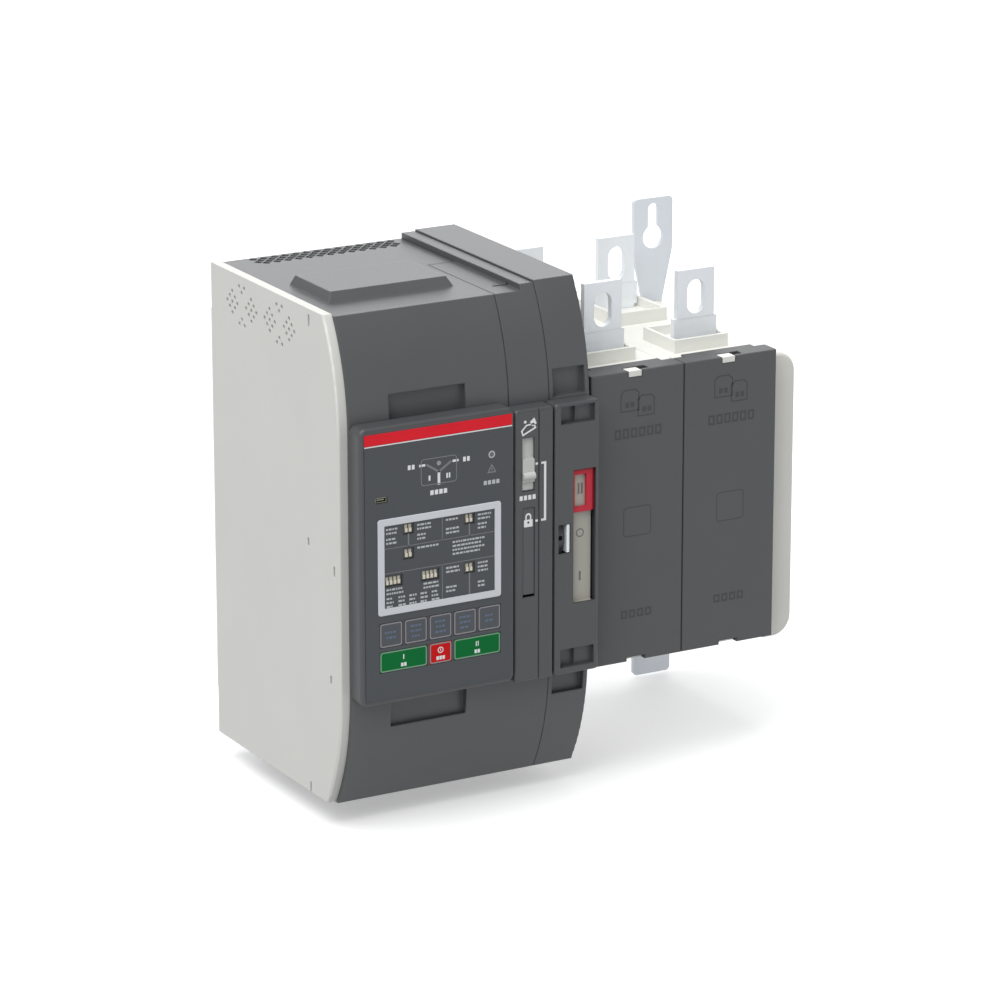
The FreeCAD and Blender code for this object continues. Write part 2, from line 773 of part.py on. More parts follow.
def handle_panel():
    x = ("handle_left", "case_wide")
    cutters = [
        block("window_cut", ("window_left", "window_right"), layer("strip_front + 1", "strip_front - 3"),
              ("window_low", "window_high")),
        block("hub_cut", ("slot_left", "slot_right"), layer("strip_front + 1", "strip_front - 3"),
              ("axis_high - 9", "axis_high + 9")),
    ]
    shell = strip_shell("handle", x, cutters)
    pockets = []
    trays = []
    for tag, low, high in (("high", 221.4, 232.0), ("low", 70.9, 82.3)):
        trays.append(block("tray_" + tag, ("139", "164"), layer("strip_front - 1", "strip_front - 6"),
                           ("%r - 1.4" % low, "%r + 1" % high)))
        for side, x, deep in (("left", ("140", "150.4"), "4.6"), ("right", ("151", "163"), "3.2"),
                              ("rim", ("140", "163"), "2")):
            depths = layer("strip_front + 1", "strip_front - " + deep)
            pockets.append(block("pocket_%s_%s" % (side, tag), x, depths, ("%r" % low, "%r" % high)))
    seat("handle_panel", cut("handle_cut", fuse("handle_solid", [shell] + trays), pockets))


def position_scale():
    """The strip behind the window, hung from the panel by a block at each end."""
    x = ("window_left - 1", "window_right - 1.1")
    plate = block("scale_plate", x, layer("strip_front - 4.2", "strip_front - 5"),
                  ("window_low - 2", "window_high + 2"))
    behind = layer("strip_front - strip_wall", "strip_front - 4.6")
    high = block("scale_high", x, behind, ("window_high + 0.3", "window_high + 2"))
    low = block("scale_low", x, behind, ("window_low - 2", "window_low - 0.4"))
    seat("position_scale", fuse("scale_solid", [plate, high, low]))


# ---- gears and drive -------------------------------------------------------------------------

def involute(angle):
    return math.tan(angle) - angle


def gear_tooth(teeth, steps=6):
    """Half of a tooth's flank from root to tip, as (radius, half angle) pairs."""
    module = size("gear_module")
    pitch = module * teeth / 2
    base = pitch * math.cos(PRESSURE_ANGLE)
    root = pitch - 1.25 * module
    tip = pitch + module
    half = math.pi / (2 * teeth) - size("backlash") / (4 * pitch) + involute(PRESSURE_ANGLE)
    flank = []
    start = max(base, root)
    for step in range(steps):
        radius = start + (tip - start) * step / (steps - 1)
        flank.append((radius, half - involute(math.acos(min(1.0, base / radius)))))
    if root < base:
        flank.insert(0, (root, flank[0][1]))
    return flank


def gear_outline(teeth, first, last):
    """Points (y, z) about the axis. Tooth k's middle is half a pitch past gap k, and gap 0 faces
    the front."""
    flank = gear_tooth(teeth)
    points = []
    for k in range(first, last):
        middle = (k + 0.5) * math.tau / teeth
        for radius, half in flank:
            points.append((radius, middle - half))
        for radius, half in reversed(flank):
            points.append((radius, middle + half))
    return [Vector(0, -r * math.cos(a), r * math.sin(a)) for r, a in points]


def prism(points, x0, x1):
    """A solid from an outline in the YZ plane, from x0 to x1."""
    moved = [Vector(x0, p.y, p.z) for p in points]
    wire = Part.makePolygon(moved + [moved[0]])
    return Part.Face(wire).extrude(Vector(x1 - x0, 0, 0))


def computed(name, shape):
    piece = DOC.addObject("Part::Feature", name)
    piece.Shape = shape
    return piece


def gear_blank(name, teeth, first, last, x0, x1, depth):
    points = gear_outline(teeth, first, last)
    if last - first < teeth:
        points.append(Vector(0, 0, 0))
    piece = computed(name, prism(points, x0, x1))
    carried = group(name + "_carried", [piece])
    bind(carried, "Placement.Base.y", front(depth))
    bind(carried, "Placement.Base.z", "axis_high")
    return carried


def rack_shape(low, high, x0, x1, pitch_line, back_line):
    """A toothed bar along Z. Its teeth point from back_line towards and past pitch_line."""
    module = size("gear_module")
    way = 1 if pitch_line > back_line else -1
    step = math.pi * module
    thin = step / 4 - size("backlash") / 4
    top = 0.87 * module
    bottom = 1.25 * module
    lean = math.tan(PRESSURE_ANGLE)
    axis = size("axis_high")
    points = [(back_line, low)]
    first = math.ceil((low - axis + step / 2) / step)
    last = math.floor((high - axis - step / 2) / step)
    points.append((pitch_line - way * bottom, low))
    for k in range(first, last + 1):
        middle = axis + k * step
        points.append((pitch_line - way * bottom, middle - thin - bottom * lean))
        points.append((pitch_line + way * top, middle - thin + top * lean))
        points.append((pitch_line + way * top, middle + thin - top * lean))
        points.append((pitch_line - way * bottom, middle + thin + bottom * lean))
    points.append((pitch_line - way * bottom, high))
    points.append((back_line, high))
    return prism([Vector(0, y, z) for y, z in points], x0, x1)


def crank(name, depth):
    """A crank arm that points down at rest, with its pin reaching left through the link."""
    x = ("crank_left", "crank_left + crank_thick")
    eye = rod(name + "_eye", "x", (front(depth), "axis_high"), x, "pivot_radius + 2")
    arm = block(name + "_arm", x, (front(depth) + " - 4", front(depth) + " + 4"),
                ("axis_high - crank_radius", "axis_high"))
    end = rod(name + "_end", "x", (front(depth), "axis_high - crank_radius"), x, "4")
    pin = rod(name + "_pin", "x", (front(depth), "axis_high - crank_radius"),
              ("crank_left - 4.6", "crank_left + 1"), "crank_pin")
    return [eye, arm, end, pin]


def handle_hub():
    """The lever's seat: a large round core behind the handle panel's slot, on the shaft of its
    crank."""
    at = (front("handle_back"), "axis_high")
    shaft = rod("hub_shaft", "x", at, ("crank_left", "slot_right + 1"), "pivot_radius")
    core = rod("hub_core", "x", at, ("slot_left + 0.3", "slot_right - 2.7"), "core_radius")
    socket = block("hub_socket", ("slot_left + 1.6", "slot_right - 4"),
                   layer("handle_back + core_radius + 1", "handle_back + core_radius - 4"),
                   ("axis_high - 1.4", "axis_high + 1.4"))
    solid = fuse("hub_solid", [shaft, core] + crank("hub_crank", "handle_back"))
    seat("handle_hub", cut("hub_cut_socket", solid, [socket]))


def drive_link():
    """The bar that joins the three cranks, parallel to the line through their axes."""
    x = ("crank_left - 4.4", "crank_left - 0.4")
    z = "axis_high - crank_radius"
    bar = block("link_bar", x, layer("handle_back", "rotor_back"), (z + " - 3.2", z + " + 3.2"))
    eyes = []
    bores = []
    for tag, depth in (("hub", "handle_back"), ("sector", "sector_back"), ("rotor", "rotor_back")):
        eyes.append(rod("link_eye_" + tag, "x", (front(depth), z), x, "4.6"))
        bores.append(rod("link_bore_" + tag, "x", (front(depth), z),
                         ("crank_left - 6", "crank_left + 1"), "crank_pin + running_gap"))
    seat("drive_link", cut("drive_link_cut", fuse("drive_link_solid", [bar] + eyes), bores))


def sector_gear():
    shaft = rod("sector_shaft", "x", (front("sector_back"), "axis_high"), ("crank_left", "160"),
                "pivot_radius")
    hub = rod("sector_hub", "x", (front("sector_back"), "axis_high"), ("148", "159"), "9")
    blank = gear_blank("sector_teeth", int(size("sector_teeth")), -2, 14, 150, 157, "sector_back")
    arm = crank("sector_crank", "sector_back")
    seat("sector_gear", fuse("sector_gear_solid", [shaft, hub, blank] + arm))


def position_frame():
    """The red frame that runs in front of the scale, carried by a rack behind it."""
    ring = block("frame_ring", ("window_left + 0.3", "162.7"),
                 layer("strip_front - 1.9", "strip_front - 3.8"), ("165.7", "191.5"))
    hole = block("frame_hole", ("window_left + 1.9", "window_right - 5.4"),
                 layer("strip_front", "strip_front - 6"), ("168.8", "188.7"))
    lip = block("frame_lip", ("162.6", "164.4"), layer("strip_front - 3", "strip_front - 3.8"),
                ("165.7", "191.5"))
    side = block("frame_side", ("163.2", "164.4"), layer("strip_front - 3", "strip_front - 7.8"),
                 ("165.7", "191.5"))
    behind = layer("strip_front - 5.4", "strip_front - 7.8")
    bridge = block("frame_bridge", ("150", "164.4"), behind, ("165.7", "191.5"))
    spine = block("frame_spine", ("150", "157"), behind, ("141.5", "212"))
    pitch_line = -size("sector_back") - size("gear_module") * size("sector_teeth") / 2
    rack = computed("frame_rack", rack_shape(141.5, 212, 150, 157, pitch_line, pitch_line - 3.6))
    body = fuse("frame_solid", [cut("frame_open", ring, [hole]), lip, side, bridge, spine, rack])
    seat("position_frame", body)


def rotor_shaft():
    """The shaft through both poles, with its crank and the pinion that the solenoids drive."""
    at = (front("rotor_back"), "axis_high")
    bar = rod("rotor_bar", "x", at, ("crank_left", "cap_right - 5"), "shaft_radius")
    ring = rod("rotor_eye", "x", at, ("crank_left", "crank_left + crank_thick"), "12")
    collar_ring = rod("rotor_collar", "x", at, ("136", "150"), "11")
    teeth = int(size("pinion_teeth"))
    middle = size("rod_middle")
    pinion = gear_blank("rotor_pinion", teeth, 0, teeth, middle - 4.5, middle + 4.5, "rotor_back")
    arm = crank("rotor_arm", "rotor_back")
    seat("rotor_shaft", fuse("rotor_shaft_solid", [bar, ring, collar_ring, pinion] + arm))


def rod_depth():
    """How far the plunger's middle is in front of the mounting plane."""
    return "(rotor_back + gear_module * pinion_teeth / 2 + 5.7)"


def plunger():
    """A square rod with a rack on its rear side and an iron armature at each end."""
    pitch_line = -size("rotor_back") - size("gear_module") * size("pinion_teeth") / 2
    middle = size("rod_middle")
    rack = computed("plunger_rack", rack_shape(75, 245, middle - 4, middle + 4, pitch_line, pitch_line - 9.7))
    at = ("rod_middle", front(rod_depth()))
    trims = [
        block("plunger_trim_" + tag, ("rod_middle - 5", "rod_middle + 5"),
              (front("rotor_back + gear_module * pinion_teeth / 2 + 1.6"), front("rotor_back")), z)
        for tag, z in (("low", ("70", "132")), ("high", ("196", "250")))
    ]
    armatures = [rod("armature_" + tag, "z", at, z, "armature")
                 for tag, z in (("low", ("84", "112")), ("high", ("212", "240")))]
    seat("plunger", fuse("plunger_solid", [cut("plunger_bar", rack, trims)] + armatures))


def solenoids():
    """Two moulded coils, each with an arm back to the case's frame."""
    coils = []
    at = ("rod_middle", front(rod_depth()))
    for tag, low in (("low", "56"), ("high", "186")):
        high = low + " + coil_tall"
        winding = rod("winding_" + tag, "z", at, (low, high), "coil_radius")
        flanges = [rod("flange_%s_%d" % (tag, i), "z", at, span, "coil_radius + 1.5")
                   for i, span in enumerate(((low, low + " + 3"), (high + " - 3", high)))]
        arm = block("coil_arm_" + tag, ("rod_middle - 10", "rod_middle + 10"),
                    (front(rod_depth()) + " + 8", "-6"), (low + " + 8", high + " - 8"))
        bore = rod("coil_bore_" + tag, "z", at, (low + " - 1", high + " + 1"), "coil_bore")
        coils.append(cut("coil_" + tag, fuse("coil_solid_" + tag, [winding, arm] + flanges), [bore]))
    seat("solenoids", group("solenoid_set", coils))


def mechanism_plate():
    """The steel plate that carries the three axes inside the case. A tab above the lever's seat
    bends forward into the guide plate that shows in the handle panel's slot."""
    plate = block("mech_plate", ("130.4", "133"), layer("handle_back + 5.6", "6"), ("124", "182"))
    foot = block("mech_foot", ("130.4", "148"), layer("8.6", "6"), ("124", "182"))
    guide = ("slot_right - 2.4", "slot_right - 0.4")
    tab = block("mech_tab", ("130.4", guide[1]), layer("handle_back + 5.6", "handle_back + 3"),
                ("171", "182"))
    riser = block("mech_riser", guide, layer("handle_back + 14.6", "handle_back + 3"),
                  ("axis_high + 8", "182"))
    bar = block("mech_guide", guide, layer("strip_front - 0.4", "handle_back + 6"),
                ("axis_high - 8.6", "axis_high + 8.6"))
    bores = [
        shaft_hole("mech_bore_hub", ("129", "134"), "handle_back", "pivot_radius"),
        shaft_hole("mech_bore_sector", ("129", "134"), "sector_back", "pivot_radius"),
        shaft_hole("mech_bore_rotor", ("129", "134")),
    ]
    seat("mechanism_plate", cut("mech_plate_cut", fuse("mech_solid", [plate, foot, tab, riser, bar]), bores))


# ---- poles -----------------------------------------------------------------------------------

def pole_span(index):
    """The housing's X span: the first pole fills the gap beside the case."""
    left = "pole_start" if index == 0 else "pole_split + 0.15"
    right = "pole_split - 0.15" if index == 0 else "pole_end"
    return left, right


def cover_span(index):
    left = "cover_start" if index == 0 else "pole_split + 0.3"
    right = "pole_split - 0.3" if index == 0 else "cover_end"
    return left, right


def pole_middle(index):
    return "(pole_first + %d * pole_pitch)" % index


def collar(tag, index, deep, shallow):
    """A raised rim round a terminal on top of a pole."""
    middle = pole_middle(index)
    x = (middle + " - 18.8", middle + " + 18.8")
    wall = "collar_wall"
    ring = block("collar_ring_" + tag, x, layer(deep, shallow),
                 ("pole_high - 0.5", "pole_high + collar_tall"))
    well = block("collar_well_" + tag, ("%s + %s" % (x[0], wall), "%s - %s" % (x[1], wall)),
                 layer("%s - %s" % (deep, wall), "%s + %s" % (shallow, wall)),
                 ("pole_high + 2.2", "pole_high + collar_tall + 1"))
    return cut("collar_" + tag, ring, [well])


def pole_housing(index):
    tag = str(index + 1)
    left, right = pole_span(index)
    middle = pole_middle(index)
    outer = block("pole_outer_" + tag, (left, right), layer("pole_front", "back_gap + 0.2"),
                  ("pole_low", "pole_high"))
    hollow = block("pole_hollow_" + tag, (left + " + pole_wall", right + " - pole_wall"),
                   layer("pole_front + 1", "back_gap + 0.2 + pole_wall"),
                   ("pole_low + pole_wall", "pole_high - pole_wall"))
    x = (middle + " - 6.4", middle + " + 2.4")
    tongue_high = block("tongue_high_" + tag, x, layer("cover_front - 0.3", "cover_front - 7.6"),
                        ("cover_high - 3.7", "cover_high - 0.2"))
    tongue_root = block("tongue_root_" + tag, x, layer("cover_front - 3", "pole_front - 1"),
                        ("pole_high - 2.6", "cover_high - 3"))
    tongue_low = block("tongue_low_" + tag, (middle + " - 6", middle + " + 6"),
                       layer("pole_front + 14", "pole_front - 1"), ("pole_low + 1", "pole_low + 3"))
    cover_left, cover_right = cover_span(index)
    ears = [
        block("ear_%s_%s" % (side, tag), x, layer("pole_front + 4.4", "pole_front - 1"),
              ("pole_high - 2.6", "cover_high - 0.8"))
        for side, x in (("left", (cover_left + " + 0.6", cover_left + " + 7.6")),
                        ("right", (cover_right + " - 7.6", cover_right + " - 0.6")))
    ]
    shell = cut("pole_shell_" + tag, outer, [hollow])
    rims = [collar("front_" + tag, index, "128", "91"), collar("rear_" + tag, index, "56.5", "9")]
    solid = fuse("pole_solid_" + tag, [shell, tongue_high, tongue_root, tongue_low] + ears + rims)
    half = "(lug_wide / 2 + 0.2)"
    x = ("%s - %s" % (middle, half), "%s + %s" % (middle, half))
    slots = []
    for name, depth, z in (
        ("front", "front_lug", ("pole_high - 6", "pole_high + 4")),
        ("rear", "rear_lug", ("pole_high - 6", "pole_high + 4")),
        ("load", "load_lug", ("pole_low - 2", "pole_low + 6")),
    ):
        slots.append(block("lug_slot_%s_%s" % (name, tag), x,
                           layer(depth + " + 0.2", depth + " - lug_thick - 0.2"), z))
    span = (left + " - 1", right + " + 1")
    bearing = shaft_hole("pole_bearing_" + tag, span)
    ties = tie_holes("pole_%s" % tag, span, "tie_radius + 0.2")
    return cut("pole_housing_cut_" + tag, solid, slots + [bearing] + ties)


def pole_cover(index):
    tag = str(index + 1)
    x = cover_span(index)
    middle = pole_middle(index)
    body, pad = padded("cover_block_" + tag, "XZ", "pole_front + 0.2", "cover_front - pole_front - 0.2",
                       rectangle(x, ("cover_low", "cover_high")))
    face = -size("cover_front")
    rounded(body, pad, "cover_rim_" + tag, "0.9", lambda e: abs(e.BoundBox.YMax - face) < 1e-4)
    hollow = block("cover_hollow_" + tag, (x[0] + " + cover_wall", x[1] + " - cover_wall"),
                   layer("cover_front - cover_wall", "pole_front - 1"),
                   ("cover_low + cover_wall + 1", "cover_high - cover_wall"))
    z = ("cover_high - 4", "cover_high + 1")
    notch = block("cover_notch_" + tag, (middle + " - 6.8", middle + " + 2.8"),
                  layer("cover_front + 1", "cover_front - 8.4"), z)
    mouth = block("cover_mouth_" + tag, (middle + " + 2.7", middle + " + 8.8"),
                  layer("cover_front - 2.6", "cover_front - 8.4"), z)
    foot = block("cover_foot_" + tag, (middle + " - 6.6", middle + " + 6.6"),
                 layer("cover_front + 1", "pole_front - 1"), ("cover_low - 1", "pole_low + 3.3"))
    corners = [
        block("cover_corner_%s_%s" % (side, tag), span, layer("pole_front + 4.7", "pole_front - 1"),
              ("pole_high - 3", "cover_high + 1"))
        for side, span in (("left", (x[0] + " - 1", x[0] + " + 7.9")),
                           ("right", (x[1] + " - 7.9", x[1] + " + 1")))
    ]
    tools = [hollow, fuse("cover_mouths_" + tag, [notch, mouth]), foot] + corners
    return cut("pole_cover_cut_" + tag, body, tools)


def poles():
    seat("pole_housings", group("pole_housing_set", [pole_housing(i) for i in range(2)]))
    seat("pole_covers", group("pole_cover_set", [pole_cover(i) for i in range(2)]))


def jaw_sides(middle):
    near = "(blade_thick / 2 + jaw_gap)"
    return (
        ("%s - %s - jaw_thick" % (middle, near), "%s - %s" % (middle, near)),
        ("%s + %s" % (middle, near), "%s + %s + jaw_thick" % (middle, near)),
    )


def source_lug(tag, index, depth, block_depths):
    """A terminal plate with shoulders, and the pair of contact jaws it carries inside. The face
    above the shoulders stands slightly proud, as the pad that a cable lug rests on."""
    middle = pole_middle(index)
    path = [
        ("%s - lug_wide / 2" % middle, "196"),
        ("%s + lug_wide / 2" % middle, "196"),
        ("%s + lug_wide / 2" % middle, "pole_high + 4.5"),
        ("%s + shoulder_wide / 2" % middle, "pole_high + 4.5"),
        ("%s + shoulder_wide / 2" % middle, "shoulder_high"),
        ("%s + lug_wide / 2" % middle, "shoulder_high"),
        ("%s + lug_wide / 2" % middle, "lug_top"),
        ("%s - lug_wide / 2" % middle, "lug_top"),
        ("%s - lug_wide / 2" % middle, "shoulder_high"),
        ("%s - shoulder_wide / 2" % middle, "shoulder_high"),
        ("%s - shoulder_wide / 2" % middle, "pole_high + 4.5"),
        ("%s - lug_wide / 2" % middle, "pole_high + 4.5"),
    ]
    plate, _ = padded("lug_plate_" + tag, "XZ", "%s - lug_thick" % depth, "lug_thick", path)
    foot = block("lug_foot_" + tag, (middle + " - 10", middle + " + 10"), layer(*block_depths),
                 ("196", "206"))
    jaws = [
        block("lug_jaw_%s_%d" % (tag, side), x, layer(*block_depths), ("172", "206"))
        for side, x in enumerate(jaw_sides(middle))
    ]
    stem = stepped("lug_stem_" + tag, plate, middle, depth, ("190", "shoulder_high"))
    slot = slot_cutter("lug_hole_" + tag, middle, depth, "lug_slot_high")
    return cut("lug_" + tag, fuse("lug_solid_" + tag, [stem, foot] + jaws), [slot])


def stepped(name, plate, middle, depth, z):
    """A plate whose front face is set back by the pad's step over a height."""
    step = block(name + "_step", (middle + " - 20", middle + " + 20"),
                 layer(depth + " + 1", depth + " - pad_step"), z)
    return cut(name, plate, [step])


def slot_cutter(name, middle, depth, high):
    """An upright slot with round ends, through a plate whose front face is at depth."""
    y = layer(depth + " + 2", depth + " - lug_thick - 2")
    reach = "(lug_slot_tall - lug_slot_wide) / 2"
    half = "lug_slot_wide / 2"
    body = block(name + "_body", ("%s - %s" % (middle, half), "%s + %s" % (middle, half)), y,
                 ("%s - %s" % (high, reach), "%s + %s" % (high, reach)))
    ends = [rod("%s_end_%d" % (name, way + 1), "y", (middle, "%s + (%d) * %s" % (high, way, reach)), y, half)
            for way in (-1, 1)]
    return fuse(name, [body] + ends)


def load_lug(index):
    tag = str(index + 1)
    middle = pole_middle(index)
    depth = "load_lug"
    plate = block("load_plate_" + tag, (middle + " - lug_wide / 2", middle + " + lug_wide / 2"),
                  layer(depth, "load_lug - lug_thick"), ("load_low", "88"))
    foot = block("load_foot_" + tag, (middle + " - 10", middle + " + 10"),
                 layer("load_lug", "rotor_back - 10"), ("86", "96"))
    jaws = []
    for side, x in enumerate(jaw_sides(middle)):
        disc = rod("load_disc_%s_%d" % (tag, side), "x", (front("rotor_back"), "axis_high"), x, "62",
                   110, -55)
        core = rod("load_core_%s_%d" % (tag, side), "x", (front("rotor_back"), "axis_high"),
                   ("%s - 1" % x[0], "%s + 1" % x[1]), "36")
        jaws.append(cut("load_jaw_%s_%d" % (tag, side), disc, [core]))
    stem = stepped("load_stem_" + tag, plate, middle, depth, ("57", "90"))
    slot = slot_cutter("load_hole_" + tag, middle, depth, "load_slot_high")
    return cut("load_" + tag, fuse("load_solid_" + tag, [stem, foot] + jaws), [slot])


def lugs():
    source = []
    for index in range(2):
        source.append(source_lug("front_%d" % index, index, "front_lug", ("front_lug", "104")))
        source.append(source_lug("rear_%d" % index, index, "rear_lug", ("46", "rear_lug - lug_thick")))
    seat("source_lugs", group("source_lug_set", source))
    seat("load_lugs", group("load_lug_set", [load_lug(i) for i in range(2)]))


def rotor_contacts():
    """The moving knife blades and the drums that hold them. At rest they lean to the rear source."""
    blades = []
    drums = []
    for index in range(2):
        tag = str(index + 1)
        middle = pole_middle(index)
        x = ("%s - blade_thick / 2" % middle, "%s + blade_thick / 2" % middle)
        half = "blade_wide / 2"
        bar = block("blade_bar_" + tag, x, ("-" + half, half), ("-blade_reach", "blade_reach"))
        disc = rod("blade_disc_" + tag, "x", ("0", "0"), x, "blade_disc")
        blade = fuse("blade_solid_" + tag, [bar, disc])
        hole = rod("blade_hole_" + tag, "x", ("0", "0"), (x[0] + " - 1", x[1] + " + 1"), "shaft_radius")
        open_blade = cut("blade_open_" + tag, blade, [hole])
        blades.append(turned("blade_" + tag, open_blade, -45, front("rotor_back"), "axis_high"))
        left, right = pole_span(index)
        inner = (left + " + pole_wall + 0.6", right + " - pole_wall - 0.6")
        drum = rod("drum_bar_" + tag, "x", ("0", "0"), inner, "drum_radius")
        bore = rod("drum_bore_" + tag, "x", ("0", "0"), (left, right), "shaft_radius")
        slit = block("drum_slit_" + tag, x, ("-" + half, half), ("-blade_reach", "blade_reach"))
        pocket = rod("drum_pocket_" + tag, "x", ("0", "0"), x, "blade_disc")
        open_drum = cut("drum_open_" + tag, drum, [fuse("drum_tool_" + tag, [bore, slit, pocket])])
        drums.append(turned("drum_" + tag, open_drum, -45, front("rotor_back"), "axis_high"))
    seat("contact_blades", group("blade_set", blades))
    seat("rotor_drums", group("drum_set", drums))


def arc_plates():
    plates = []
    for index in range(2):
        left, right = pole_span(index)
        for step in (-3, -2, -1, 1, 2, 3):
            name = "arc_%d_%d" % (index + 1, step + 3)
            sheet = block(name + "_sheet", (left + " + pole_wall", right + " - pole_wall"), ("-0.6", "0.6"),
                          ("blade_reach + 3.5", "blade_reach + 19"))
            plates.append(turned(name, sheet, 7.5 * step, front("rotor_back"), "axis_high"))
    seat("arc_plates", group("arc_plate_set", plates))


def end_cap():
    x = ("pole_end + 0.2", "cap_right")
    body, pad = padded("cap_block", "XZ", "back_gap + 0.2", "cap_front - back_gap - 0.2",
                       rectangle(x, ("cap_low", "cap_high")))
    right = size("cap_right")
    corners = rounded(body, pad, "cap_corners", "13",
                      lambda e: runs_along(e, Vector(0, 1, 0)) and e.BoundBox.XMin > right - 1e-4)
    face = -size("cap_front")
    rounded(body, corners, "cap_rim", "2.2",
            lambda e: abs(e.BoundBox.YMax - face) < 1e-4 and e.BoundBox.XMax > right - 14)
    hollow = block("cap_hollow", (x[0] + " - 1", "cap_right - 12"), layer("cap_front - 3", "back_gap + 3.2"),
                   ("cap_low + 3", "cap_high - 3"))
    bearing = shaft_hole("cap_bearing", ("cap_right - 13", "cap_right - 4"))
    ties = tie_holes("cap", ("pole_split", "cap_right + 1"), "tie_radius + 0.2")
    heads = tie_holes("cap_head", ("cap_right - 4.4", "cap_right + 1"), "5.2")
    tools = [fuse("cap_tie_%d" % i, pair) for i, pair in enumerate(zip(ties, heads))]
    seat("end_cap", cut("end_cap_cut", body, [hollow, bearing] + tools))


def tie_bolts():
    bolts = []
    shanks = tie_holes("bolt", ("case_wide - wall - 9", "cap_right - 3"), "tie_radius")
    heads = tie_holes("bolt_head", ("cap_right - 4.2", "cap_right - 0.9"), "4.8")
    nuts = tie_holes("bolt_nut", ("case_wide - wall - 5", "case_wide - wall"), "5")
    for index, parts in enumerate(zip(shanks, heads, nuts)):
        solid = fuse("tie_bolt_%d" % index, list(parts))
        bolts.append(cut("tie_bolt_cut_%d" % index, solid, [hex_socket(index)]))
    seat("tie_bolts", group("tie_bolt_set", bolts))


def hex_socket(index):
    """The hexagon socket in the head of a tie bolt."""
    back, high = TIE_PLACES[index]
    socket = DOC.addObject("Part::Prism", "bolt_socket_%d" % index)
    socket.Polygon = 6
    bind(socket, "Circumradius", "socket_radius")
    bind(socket, "Height", "4")
    socket.Placement = FreeCAD.Placement(Vector(), TURN_TO["x"])
    for letter, value in zip("xyz", ("cap_right - 3.4", front(back), "%r" % high)):
        bind(socket, "Placement.Base." + letter, value)
    return socket


def upper_bracket():
    half = "bracket_wide / 2"
    slot_end = "298.6 - keyhole_slot"
    rise = "sqrt(keyhole_radius^2 - keyhole_slot^2)"
    outline_path = [
        ("bracket_middle - 7", "150"),
        ("bracket_middle + 7", "150"),
        ("bracket_middle + 7", "236"),
        ("bracket_middle + %s" % half, "268.4"),
        ("bracket_middle + %s" % half, "299", "bracket_middle + %s - 3" % half, "299"),
        ("bracket_middle + %s - 3" % half, "302"),
        ("bracket_middle - %s + 3" % half, "302", "bracket_middle - %s + 3" % half, "299"),
        ("bracket_middle - %s" % half, "299"),
        ("bracket_middle - %s" % half, "268.4"),
        ("bracket_middle - 7", "236"),
    ]
    body, _ = padded("keyhole_plate", "XZ", "0", "bracket_thick", outline_path)
    y = ("-bracket_thick - 1", "1")
    circle = rod("keyhole_circle", "y", ("bracket_middle", "keyhole_height"), y, "keyhole_radius")
    neck = block("keyhole_neck", ("bracket_middle - keyhole_slot", "bracket_middle + keyhole_slot"), y,
                 ("keyhole_height + %s - 2" % rise, slot_end))
    end = rod("keyhole_end", "y", ("bracket_middle", slot_end), y, "keyhole_slot")
    seat("keyhole_bracket", cut("keyhole_cut", body, [fuse("keyhole_tool", [circle, neck, end])]))


def lower_bracket():
    half = "tab_wide / 2"
    path = [
        ("tab_middle - %s" % half, "-11.4"),
        ("tab_middle - %s + 1.8" % half, "-13.2"),
        ("tab_middle + %s - 1.8" % half, "-13.2"),
        ("tab_middle + %s" % half, "-11.4"),
        ("tab_middle + %s" % half, "62"),
        ("tab_middle + 7", "84"),
        ("tab_middle + 7", "120"),
        ("tab_middle - 7", "120"),
        ("tab_middle - 7", "84"),
        ("tab_middle - %s" % half, "62"),
    ]
    body, _ = padded("tab_plate", "XZ", "0", "bracket_thick", path)
    hole = rod("tab_hole_tool", "y", ("tab_middle", "6"), ("-bracket_thick - 1", "1"), "tab_hole")
    seat("lower_bracket", cut("tab_cut", body, [hole]))


# ---- assembly --------------------------------------------------------------------------------

def build():
    fill_sheet()
    left_side_panel()
    left_cover()
    centre_cover()
    right_cover()
    back_frame()
    panel_housing()
    panel_film()
    accent_stripe()
    label_frame()
    usb_port()
    panel_board()
    dip_bodies()
    dip_levers()
    keys()
    slider_panel()
    mode_slider()
    padlock_slide()
    handle_panel()
    position_scale()
    handle_hub()
    drive_link()
    sector_gear()
    position_frame()
    rotor_shaft()
    plunger()
    solenoids()
    mechanism_plate()
    poles()
    lugs()
    rotor_contacts()
    arc_plates()
    end_cap()
    tie_bolts()
    upper_bracket()
    lower_bracket()
    DOC.recompute()


def check():
    faults = []
    for piece in DOC.Objects:
        if "Invalid" in piece.State or "Error" in piece.State:
            faults.append("%s is %s" % (piece.Name, piece.State))
    for node, piece in NODES:
        if piece.Shape.isNull() or not piece.Shape.isValid() or not piece.Shape.Solids:
            faults.append("%s has no valid solid" % node)
    if faults:
        raise RuntimeError("; ".join(faults))


def write():
    os.makedirs("parts", exist_ok=True)
    for old in os.listdir("parts"):
        os.remove(os.path.join("parts", old))
    for node, piece in NODES:
        piece.Shape.exportStep(os.path.join("parts", node + ".step"))
        box = piece.Shape.BoundBox
        print("%-20s solids %2d  volume %9.0f  x %.1f..%.1f y %.1f..%.1f z %.1f..%.1f" % (
            node, len(piece.Shape.Solids), piece.Shape.Volume,
            box.XMin, box.XMax, box.YMin, box.YMax, box.ZMin, box.ZMax))
    print("%d nodes" % len(NODES))


build()
check()
write()
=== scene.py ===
import json
import math
import random

